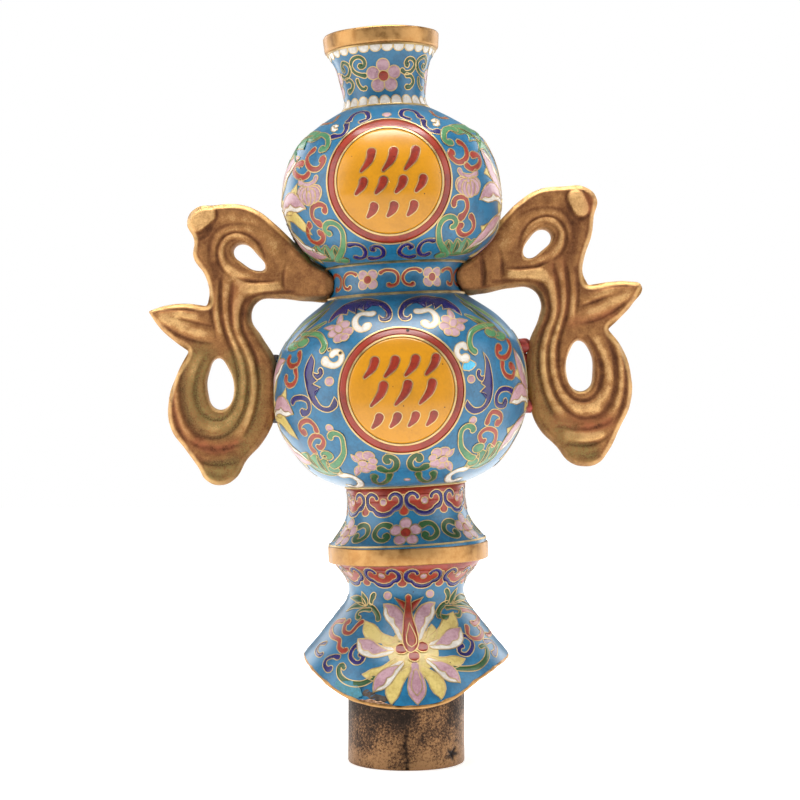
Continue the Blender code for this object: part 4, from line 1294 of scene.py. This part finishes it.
socket = {
    "radius": 25.0, "bore": 22.6, "shoulder": 66.0, "taper": 2.6, "neck": 22.9, "boreShoulder": 63.0,
    "neckBore": 20.0, "boreTop": 80.0, "chamfer": 0.8, "top": 85.2, "segments": 240, "row": 0.8,
    "rowsTo": 21.0,    # no marks are struck above this, so it needs no rows there
    "seamTop": 20.0, "seamDepth": 1.1, "seamHalf": 1.15,
    "dent": (19.4, 5.6), "dentDepth": 1.0, "dentReach": 2.9,
}


def addSocket():
    s = socket
    outside = [(s["radius"], z) for z in np.arange(s["rowsTo"], s["chamfer"], -s["row"])]
    shape = spun([
        (0, s["top"]), (s["neck"], s["top"]), (s["neck"], s["shoulder"] + s["taper"]),
        (s["radius"], s["shoulder"]), *outside, (s["radius"], s["chamfer"]), (s["radius"] - 0.25, 0.25),
        (s["radius"] - s["chamfer"], 0), (s["bore"], 0), (s["bore"], s["boreShoulder"]),
        (s["neckBore"], s["shoulder"]), (s["neckBore"], s["boreTop"]), (0, s["boreTop"])], s["segments"])
    layer = shape.verts.layers.float.new("scar")
    for vertex in shape.verts:
        x, y, z = vertex.co
        if math.hypot(x, y) > s["radius"] - 0.1 and y < 0:
            line = -0.2 + 0.5 * math.sin(0.45 * z) + 0.3 * math.sin(1.7 * z)  # the seam wanders
            fade = min(1.0, max(0.0, (s["seamTop"] - z) / 4)) * (0.55 + 0.45 * math.sin(0.9 * z + 1) ** 2)
            half = s["seamHalf"] * (1 + 0.5 * math.sin(1.3 * z) * math.sin(3.1 * z + 1))
            seam = fade * math.exp(-((x - line) / half) ** 2)
            aside, above = x - s["dent"][0], z - s["dent"][1]
            spoke = math.cos(2.5 * math.atan2(above, aside) + 0.4) ** 2
            reach = s["dentReach"] * (0.45 + 0.75 * spoke)  # the dent is a star
            dent = max(0.0, 1 - math.hypot(aside, above) / reach)
            vertex[layer] = min(1.0, 1.2 * seam + 2.6 * dent)
            vertex.co.xy *= 1 - (s["seamDepth"] * seam + s["dentDepth"] * dent) / s["radius"]
        vertex.co = (vertex.co + Vector((socketAxis, 0, 0))) * mm
    finishPiece("staff_socket", shape, [socketBrass], "socket")


mouthRim = {
    "outline": [(22.7, 222.5), (23.9, 222.5), (24.6, 222.25), (24.9, 221.7), (24.85, 220.8), (24.6, 218),
                (24.45, 216.4), (24.2, 215.75), (23.7, 215.5), (20.9, 215.5), (20.7, 218), (20.6, 221.7),
                (20.9, 222.3), (21.5, 222.5)],
    "tilt": lean, "origin": bandCentre, "segments": 160, "wobble": 0.1,
}


def addGiltRing(name, node, shapeOf):
    shape = spun(shapeOf["outline"], shapeOf["segments"])
    turn, wobble = Matrix.Rotation(-shapeOf["tilt"], 3, "Y"), shapeOf["wobble"]
    for vertex in shape.verts:
        angle = math.atan2(vertex.co.y, vertex.co.x)
        swell = math.sin(3 * angle + 1) + 0.6 * math.sin(7 * angle) + 0.4 * math.sin(16 * angle + 2)
        vertex.co.xy *= 1 + wobble * swell / 30
        vertex.co.z += wobble * 0.7 * math.sin(5 * angle + 2)
        vertex.co = (turn @ vertex.co + shapeOf["origin"]) * mm
    finishPiece(name, shape, [bandGilt], node, sharp=50)


addSocket()
addGiltRing("foot_band_gilt", "foot_band", footBand)
addGiltRing("mouth_rim_gilt", "mouth_rim", mouthRim)
print("socket and gilt rings turned")


# Heights in the handles' lists are above the middle of the foot band, and across is from the gourd's
# axis, so one set of lists does for both hands, turned over for the left.
ribbon = {
    "half": 5.0,                     # half the thickness on the highest ridges
    "face": 4.0,                     # half the thickness on the plain bands
    "grain": 0.54,                   # the size that the cast surface is worked in
    "edgeHalf": 1.6, "bevel": 2.0, "holeBevel": 1.1, "crease": 0.25,  # the rims slope back to a crease
    "rimToplightLeast": 0.25,                # how much of a rim's gold stays where it looks down; more where it looks up is painted top light
    # the gold tone of plain bands, ridges, cut lines and the boss: partly the gilding's wear, partly
    # painted highlight on the raised parts and painted shade in the cut lines
    "shine": {"plain": 0.45, "ridge": 0.5, "groove": 0.55, "boss": 0.9},
    "armStart": 47.0, "armLength": 18.0, "armSwell": 4.6,
    "ridge": 0.55, "groove": 0.55, "fade": 7.0,   # the bands and lines fade over this length at their ends
    "clearance": 0.25,
    "outline": {
        "right": [(24.6, 117), (27.2, 121.8), (32.4, 124.8), (37.4, 128), (42.2, 133.2), (45.8, 138.9),
         (49.4, 142.6), (54.5, 147.2), (64, 152.6), (75, 153.4), (84, 152.8), (89, 147.6), (87.4, 140),
         (86, 132), (82.4, 122.6), (81.3, 116), (83.2, 110.5), (94, 111.5), (101, 111.2), (106.2, 109.2),
         (102, 101.6), (96.5, 96), (90.8, 91.2), (96.6, 82.6), (99.7, 71), (98.8, 59), (93.6, 48.6),
         (88, 38.6), (83.6, 34), (78, 32.9), (71.6, 35), (66.2, 42), (59, 50.4), (55.8, 60), (54.9, 74),
         (56.8, 87.4), (61.6, 98), (62.7, 104.6), (58.8, 110.4), (50, 111.1), (37, 109.3), (28, 110)],
        "left": [(23, 117), (26, 122), (30, 124.5), (34, 127), (37.2, 130.6), (43.8, 138), (50.5, 144.9),
         (56, 149.6), (64, 153), (75, 153.3), (83.4, 152.3), (87.2, 146.6), (84.6, 139), (85.2, 131.4),
         (80.8, 123.6), (79.2, 116), (80.3, 110.2), (90, 111.8), (98, 111.4), (105.8, 109.3), (101, 101.6),
         (95.4, 96), (89.3, 91.2), (95, 81.6), (99.2, 70), (98.8, 58.6), (93, 49.2), (88, 41.4),
         (84.6, 35.4), (78.4, 33.1), (72.4, 35.6), (67, 43.4), (60, 50.4), (54.2, 60.6), (52.5, 68),
         (52, 84), (57.8, 96), (61.8, 104), (58.6, 111), (50, 111.8), (37, 110), (26, 110.4)],
    },
    "corners": {"right": {16, 22}, "left": {16, 19, 22}},
    "holes": {
        "right": ([(56.3, 125), (59, 131.6), (65, 135.5), (68.6, 132), (63.8, 126.1), (58.5, 123.4)],
         [(78, 87), (82.6, 82), (83.4, 73.5), (81, 66.3), (75.3, 66), (72, 73.5), (74, 83)]),
        "left": ([(54.8, 125), (57.6, 130.8), (64, 136), (68, 133), (63.8, 127.4), (58, 124.2)],
         [(77, 87.6), (81.4, 81), (82.2, 73.5), (79.6, 66.4), (74.4, 66.2), (70.9, 73.5), (72.8, 83)]),
    },
    # raised bands: half width, height as a share of a ridge, and the line along them
    "ridges": [
        (2.3, 1.0, [(48.5, 116.6), (57, 117), (63.6, 116.6), (66.8, 112), (68.4, 105), (68.2, 98),
         (65.4, 91.4), (62.8, 84), (62, 76), (63.2, 67), (66.4, 59.6), (71, 54)]),
        (2.0, 0.9, [(70.6, 122), (72, 114), (72.3, 106), (71, 98.4), (68.4, 91.4), (66.4, 84), (66.2, 77),
         (67.2, 70), (69.8, 64), (74.2, 59.6), (80, 58.2), (85.4, 60.4), (89, 66), (89.9, 73), (88.6, 80),
         (85.8, 86), (82.6, 91)]),
        (1.3, 1.0, [(90.6, 91.6), (94.4, 84), (95.4, 76), (95, 67), (92.8, 59), (88.6, 53)]),
        (1.7, 0.9, [(74.6, 94), (76.2, 103), (76.4, 112), (75.6, 121)]),
        (2.3, 1.0, [(77.6, 96.8), (87, 99.8), (97, 104.2), (103.6, 107.6)]),
        (1.9, 0.7, [(80, 103.4), (89, 106.6), (99, 108.4)]),
        (1.9, 0.8, [(68.6, 47.6), (74, 45.8), (82, 45.4), (89, 48.4)]),
        (1.5, 0.9, [(56.6, 131.6), (60, 136.6), (65.8, 139.4), (71, 137.6), (73, 132.4), (71.4, 127),
         (66.6, 123), (58.4, 121.4)]),
        (1.3, 0.6, [(54.6, 137), (60, 141.4), (66.4, 142.4), (72.4, 141), (75.6, 136), (76.2, 129)]),
        (3.0, 0.5, [(43, 121), (49, 131), (56, 141.6), (64, 146.4), (73, 146.6)]),
        (2.4, 0.6, [(81.6, 137), (80.6, 129), (79, 120), (79, 112)]),
    ],
    # cut lines: half width, depth as a share of a groove, and the line along them
    "grooves": [
        (1.3, 1.0, [(76.3, 151), (76.4, 146), (78, 141.6), (81.4, 139.4), (84.6, 140.6), (85.6, 145),
         (84.4, 150)]),
        (1.0, 0.7, [(54.4, 127.4), (55.4, 133), (59.4, 138.2), (65.4, 141), (71, 139.8), (74.4, 135),
         (74.6, 129.4), (72.6, 125), (68.6, 122)]),
        (0.8, 0.45, [(57.6, 134), (61.6, 137.6), (66.4, 138.4), (70.6, 136), (71.2, 131.6), (68.6, 127.6),
         (64.6, 124.4)]),
        (1.0, 0.4, [(53.6, 140.4), (59.6, 143.8), (66.4, 144.8), (73.4, 143), (77.4, 138), (78.2, 131)]),
        (1.2, 1.0, [(48, 119.9), (54, 119.2), (60.6, 119.6), (65.4, 121.4), (68.4, 124)]),
        (1.2, 1.0, [(41, 114.2), (51, 114.4), (59.6, 113.6), (63.8, 111), (65.6, 105.4), (65.6, 99),
         (62.8, 92.6), (60.4, 86), (59.6, 77), (60.8, 68), (63.6, 59.4), (67, 53.4)]),
        (1.2, 1.0, [(68.4, 121), (69.8, 114), (70.3, 107), (69.9, 100), (67.4, 93), (64.8, 86), (64, 78),
         (64.9, 70), (67.6, 62.4), (72.4, 56.4), (79, 53.6), (85.6, 55.2), (90, 60)]),
        (1.2, 1.0, [(73.6, 122), (74.4, 114), (74.4, 106), (73.2, 98.6), (70.8, 91.6), (68.9, 85),
         (68.3, 77.6), (69.2, 70.6), (72, 64.6), (76.6, 61.4), (81.6, 61.9), (85.4, 66), (87, 73),
         (86, 80), (83.4, 86), (80.6, 90)]),
        (1.0, 0.8, [(78.6, 119), (78.8, 110), (78, 102), (76.8, 98)]),
        (1.4, 0.9, [(89.4, 89), (92.2, 82), (93, 74), (92.4, 66), (89.6, 59), (84.6, 53)]),
        (1.2, 0.8, [(94.4, 88), (97, 78), (97.2, 68), (95, 58), (90.6, 50)]),
        (1.5, 1.0, [(66.4, 51.4), (73, 49.4), (80, 49), (87, 50.6), (91, 53.4)]),
        (1.4, 1.2, [(69.4, 43.6), (76, 42.4), (82, 42.6), (88.6, 45.4)]),
        (2.2, 0.6, [(73.6, 38.6), (79, 37.4), (84.6, 39)]),
        (0.9, 0.9, [(84.4, 108.4), (93, 109.3), (100, 109.2), (104.6, 108.4)]),
        (0.9, 0.8, [(78.6, 101.4), (86, 103.4), (93, 106)]),
        (1.0, 0.9, [(78.6, 94), (86, 95.4), (94, 99), (100, 103.4)]),
    ],
    "ownGrooves": {
        "right": [(1.5, 1.3, [(37.4, 127), (38.6, 119), (37.8, 111)]), (1.2, 0.8, [(45.4, 130),
         (46.8, 122), (46, 113)])],
        "left": [(0.9, 0.6, [(45, 128), (47, 121), (46.6, 114)])],
    },
    "boss": {"right": (4.0, [(79.9, 148), (81.8, 143.4)]), "left": (4.4, [(78.6, 149.4), (83.2, 146)])},
    # stains of old metal, and gold and shade patches that lighten or darken the gold tone, the shade ones
    # painted shade: kind, reach, strength, and the line it lies on
    "stainsAndShading": {
        "right": [("verdigris", 9, 0.5, [(57, 84), (58, 66), (63, 54)]), ("verdigris", 8, 0.7, [(68, 49),
         (72, 44)]), ("verdigris", 6, 0.9, [(73, 40), (80, 38.6)]), ("coppery", 5, 0.8, [(68, 53),
         (79, 50), (88, 52)]), ("coppery", 5, 0.7, [(86.6, 150), (86.4, 143)]), ("coppery", 6, 0.4,
         [(70, 120), (72, 100)]), ("coppery", 4, 0.5, [(75, 95), (92, 98)]), ("gold", 4, 0.5, [(72, 46.6),
         (84, 45)]), ("gold", 3.4, 0.6, [(51, 116), (63, 115.4)]), ("gold", 3, 0.4, [(75, 57.4),
         (84, 57)]), ("shade", 8, 0.3, [(78, 141), (79, 128), (77, 112)]), ("shade", 5, 0.3, [(57, 144),
         (66, 147)])],
        "left": [("verdigris", 9, 1.0, [(69, 84), (68, 70), (74, 60), (84, 63), (87, 74), (84, 88)]),
         ("verdigris", 5, 0.7, [(60, 80), (61, 62), (68, 48)]), ("verdigris", 8, 1.0, [(73, 40),
         (82, 38)]), ("coppery", 3.4, 1.0, [(70, 50.6), (79, 48.6), (88, 52)]), ("coppery", 4, 0.4,
         [(96, 72), (95, 62), (91, 54)]), ("coppery", 5, 0.5, [(66, 118), (71, 104)]), ("shade", 5, 0.5,
         [(91.4, 76), (91, 64), (86, 57)]), ("shade", 4, 0.5, [(72, 45), (86, 45.6)]), ("gold", 3.4, 0.5,
         [(50, 117), (62, 117), (70, 124)]), ("gold", 4, 0.3, [(88, 105), (98, 106.6)]), ("shade", 8, 0.2,
         [(78, 141), (79, 128), (76, 112)])],
    },
}


def curvePlate(hand, side):  # the outline as a plate standing in the gourd's own middle plane
    curve = bpy.data.curves.new("ribbon", "CURVE")
    curve.dimensions = "2D"
    curve.fill_mode = "BOTH"
    curve.extrude = ribbon["half"] * mm
    curve.resolution_u = 8
    for number, outline in enumerate((ribbon["outline"][hand], *ribbon["holes"][hand])):
        spline = curve.splines.new("BEZIER")
        spline.bezier_points.add(len(outline) - 1)
        spline.use_cyclic_u = True
        corners = () if number else ribbon["corners"][hand]
        for place, (knot, (x, height)) in enumerate(zip(spline.bezier_points, outline)):
            knot.co = (side * x * mm, height * mm, 0)
            knot.handle_left_type = knot.handle_right_type = "VECTOR" if place in corners else "AUTO"
    shape = finalShape("ribbon", curve)
    bmesh.ops.remove_doubles(shape, verts=shape.verts, dist=0.01 * mm)
    bmesh.ops.rotate(shape, verts=shape.verts, matrix=Matrix.Rotation(math.pi / 2, 3, "X"))
    bmesh.ops.recalc_face_normals(shape, faces=shape.faces)
    mesh = bpy.data.meshes.new("ribbon")
    shape.to_mesh(mesh)
    shape.free()
    return mesh


def lineGap(spots, line):  # how far each spot is from a line, and how far along it in millimetres
    nearest = np.full(len(spots), 1e9)
    along = np.zeros(len(spots))
    run = 0.0
    for a, b in zip(line[:-1], line[1:]):
        step = b - a
        share = np.clip(((spots - a) @ step) / max(step @ step, 1e-12), 0, 1)
        gap = np.hypot(*(spots - a - share[:, None] * step).T)
        length = np.hypot(*step)
        along = np.where(gap < nearest, run + share * length, along)
        nearest = np.minimum(nearest, gap)
        run += length
    return nearest, np.minimum(along, run - along)


def gapTo(spots, points):
    return lineGap(spots, smoothPath(points, 5))[0]


def gapToLoop(spots, points):
    return lineGap(spots, smoothPath([points[-1]] + points + points[:2], 6)[6:-6])[0]


def hump(spots, line, half):  # 1 on a line, easing to 0 at its half width and towards its ends
    gap, fromEnd = lineGap(spots, smoothPath(line, 5))
    return np.clip(1 - (gap / half) ** 2, 0, 1) ** 1.2 * np.sqrt(np.clip(fromEnd / ribbon["fade"], 0, 1))


def stainAndShadeAt(spots, hand, kind):
    amount = np.zeros(len(spots))
    for name, reach, strength, line in ribbon["stainsAndShading"][hand]:
        if name == kind:
            amount = np.maximum(amount, strength * np.clip(1.3 - 1.3 * gapTo(spots, line) / reach, 0, 1))
    return amount


def reliefAt(spots, hand):  # half thickness, gold tone and edge on a handle, over (across, height)
    r = ribbon
    fromEdge = gapToLoop(spots, r["outline"][hand])
    for outline in r["holes"][hand]:
        fromEdge = np.minimum(fromEdge, gapToLoop(spots, outline) * r["bevel"] / r["holeBevel"])
    up = np.zeros(len(spots))
    inside = 0.7 * np.exp(-((fromEdge - r["bevel"] - 0.4) / 0.5) ** 2)
    down = r["crease"] * inside
    for half, share, line in r["ridges"]:
        up = np.maximum(up, share * r["ridge"] * hump(spots, line, 1.15 * half))
    for half, share, line in r["grooves"] + r["ownGrooves"][hand]:
        down = np.maximum(down, share * r["groove"] * hump(spots, line, 0.95 * half))
    half, line = r["boss"][hand]
    gap = gapTo(spots, line)
    boss = np.clip(2.4 - 2.4 * gap / half, 0, 1)
    up = np.maximum(up, 1.3 * r["ridge"] * boss)
    down = np.maximum(down * (1 - boss), 0.9 * r["groove"] * np.exp(-((gap - half - 0.3) / 0.6) ** 2))
    shine = r["shine"]
    # the gold tone: the gilding's wear, with painted highlight on ridges and the boss and painted shade in
    # the cut lines and the crease inside the rims
    crest = shine["plain"] + shine["ridge"] * up / r["ridge"] - shine["groove"] * down / r["groove"]
    crest = crest + stainAndShadeAt(spots, hand, "gold") - stainAndShadeAt(spots, hand, "shade") + shine["boss"] * boss
    rise = r["face"] + up - down
    rise = rise + r["armSwell"] * np.clip((r["armStart"] - spots[:, 0]) / r["armLength"], 0, 1) ** 1.5
    inner = np.clip(fromEdge / r["bevel"], 0, 1) ** 0.85
    height = r["edgeHalf"] + (rise - r["edgeHalf"]) * inner
    return height, np.clip(crest, 0, 1), np.clip((r["bevel"] + 0.1 - fromEdge) / 0.7, 0, 1)


def addRibbon(hand, side):
    shape = finalShape("ribbon", curvePlate(hand, side), ribbon["grain"])
    places = np.array([vertex.co[:] for vertex in shape.verts]) / mm
    spots = np.stack([side * places[:, 0], places[:, 2]], axis=1)
    height, crest, edge = reliefAt(spots, hand)
    places[:, 1] *= height / ribbon["half"]
    aside = bowAt(gourdForm, places[:, 2])    # the arms stop at the bulbs' surface
    places[:, 0] -= aside
    limit = radiusAt(gourdForm, runAt(gourdForm, places[:, 2])) + ribbon["clearance"]
    outward = np.maximum(np.hypot(places[:, 0], places[:, 1]), 0.01)
    places[:, :2] *= np.maximum(limit / outward, 1)[:, None]
    places[:, 0] += aside
    marks = {"crest": crest, "edge": edge, "verdigris": stainAndShadeAt(spots, hand, "verdigris"),
             "coppery": stainAndShadeAt(spots, hand, "coppery")}
    for vertex, place in zip(shape.verts, places.tolist()):
        vertex.co = place
    for name, amounts in marks.items():
        layer = shape.verts.layers.float.new(name)
        for vertex, amount in zip(shape.verts, amounts.tolist()):
            vertex[layer] = amount
    bmesh.ops.smooth_vert(shape, verts=shape.verts, factor=0.5, use_axis_x=True, use_axis_y=True,
                          use_axis_z=True)
    shape.normal_update()
    rim = shape.verts.layers.float["edge"]
    turn, origin = Matrix(gourdForm["turn"].tolist()), Vector(gourdForm["origin"])
    for vertex in shape.verts:  # rims are rubbed gold, painted brightest where they look up or outwards: painted top light
        paintedToplight = max(vertex.normal.z, 0.5 * side * vertex.normal.x, 0)
        vertex[rim] *= ribbon["rimToplightLeast"] + (1 - ribbon["rimToplightLeast"]) * min(paintedToplight / 0.6, 1)
        vertex.co = (turn @ vertex.co + origin) * mm
    finishPiece("ribbon_handle_" + hand, shape, [ribbonBronze], "ribbon_" + hand,
                sharp=180)
    print("ribbon", hand, "cast")


addRibbon("right", 1)
addRibbon("left", -1)


pads = {  # material, size across the wedge, and the length of a thin run of paste below it
    "upper_pad_right": (redPaste, 1.0, 3.4),
    "upper_pad_left": (darkPaste, 0.55, 0),
    "lower_pad_right": (redPaste, 1.0, 0),
    "lower_pad_left": (darkPaste, 0.55, 0),
}
pasteRun = {
    "line": [(-44.5, 144), (-42.3, 139.4), (-40.2, 135.6), (-37.8, 132), (-34.8, 128.6)],
    "radii": (0.35, 0.7, 1.2, 1.5, 1.0),
}


def addPad(node, material, scale, lengthen):
    low, high = boxOf(node)
    centre, size = (low + high) / 2, (high - low) / 2
    shape = bmesh.new()
    bmesh.ops.create_icosphere(shape, subdivisions=4, radius=1.0)
    if lengthen:
        drop = Matrix.Translation(Vector((0.2, 0.1, -0.9 - lengthen)))
        bmesh.ops.create_icosphere(shape, subdivisions=4, radius=1.0,
                                   matrix=drop @ Matrix.Diagonal((0.75, 0.55, lengthen, 1)))
    for vertex in shape.verts:
        x, y, z = vertex.co
        lump = 1 + 0.08 * math.sin(5 * x + 3 * z + size.x) * math.sin(4 * y + 1)
        x, y = [math.copysign(abs(part) ** 0.75, part) for part in (x, y)]  # squarer than a ball
        spot = Vector((x * (size.x + 1.0), y * size.y * scale, z * size.z * scale))
        vertex.co = (centre + spot * lump) * mm
    finishPiece(node + "_paste", shape, [material], node)


def addPasteRun():  # what is left of the black paste along the upper bulb's left side
    line = smoothPath(pasteRun["line"], 6)
    radii = spread(pasteRun["radii"], np.linspace(0, 1, len(line)))
    radii *= 1 + 0.15 * np.sin(np.arange(len(line)) * 2.3)
    places = inScene(gourdForm, np.stack([line[:, 0], 0 * radii, line[:, 1]], axis=1))
    addTube("black_paste_run", places.tolist(), radii.tolist(), darkPaste, None, False)


addPasteRun()
for node, pad in pads.items():
    addPad(node, *pad)
print("handles made")


studio = {
    "floor": 4.0, "floorColour": "F6F5F2",
    "glow": 0.6,     # of the lit table under it
    "sky": 0.36,     # what lights the object; the camera sees plain white behind it
    "aim": (0, 0, 0.16),
    "lamps": [  # place, width, height, watts
        ((-1.3, -0.35, 0.55), 1.0, 1.4, 14.0),
        ((1.3, -0.45, 0.45), 1.0, 1.4, 11.0),
        ((-0.8, 0.9, 0.3), 0.5, 1.2, 6.0),
        ((0.8, 0.9, 0.3), 0.5, 1.2, 6.0),
        ((0.0, -0.1, 1.3), 0.9, 0.6, 24.0),
    ],
}


def addStudio():
    shape = bmesh.new()
    bmesh.ops.create_grid(shape, x_segments=1, y_segments=1, size=studio["floor"] / 2)
    mesh = bpy.data.meshes.new("floor")
    shape.to_mesh(mesh)
    shape.free()
    paper, _, shader = newMaterial("pale_backdrop_paper", 0.9)
    setUp(shader, {"Base Color": linear(studio["floorColour"]), "Emission Color": (1, 1, 1, 1),
                   "Emission Strength": studio["glow"]})
    mesh.materials.append(paper)
    newObject("floor", mesh)
    for number, (place, width, height, watts) in enumerate(studio["lamps"]):
        lamp = bpy.data.lights.new("softbox_%d" % number, "AREA")
        lamp.shape = "RECTANGLE"
        lamp.size, lamp.size_y = width, height
        lamp.energy = watts
        holder = newObject(lamp.name, lamp)
        holder.location = place
        holder.rotation_euler = (Vector(studio["aim"]) - Vector(place)).to_track_quat("-Z", "Y").to_euler()
    world = bpy.data.worlds.new("sky")
    world.use_nodes = True
    tree = world.node_tree
    seen = addNode(tree, "LightPath", {}).outputs["Is Camera Ray"]
    glow = addNode(tree, "MapRange", {"To Min": studio["sky"], "To Max": 1.0, "Value": seen})
    setUp(tree.nodes["Background"], {"Color": (1, 1, 1, 1), "Strength": glow})
    bpy.context.scene.world = world
    bpy.context.scene.view_settings.view_transform = "Standard"


addStudio()
print("studio lit")
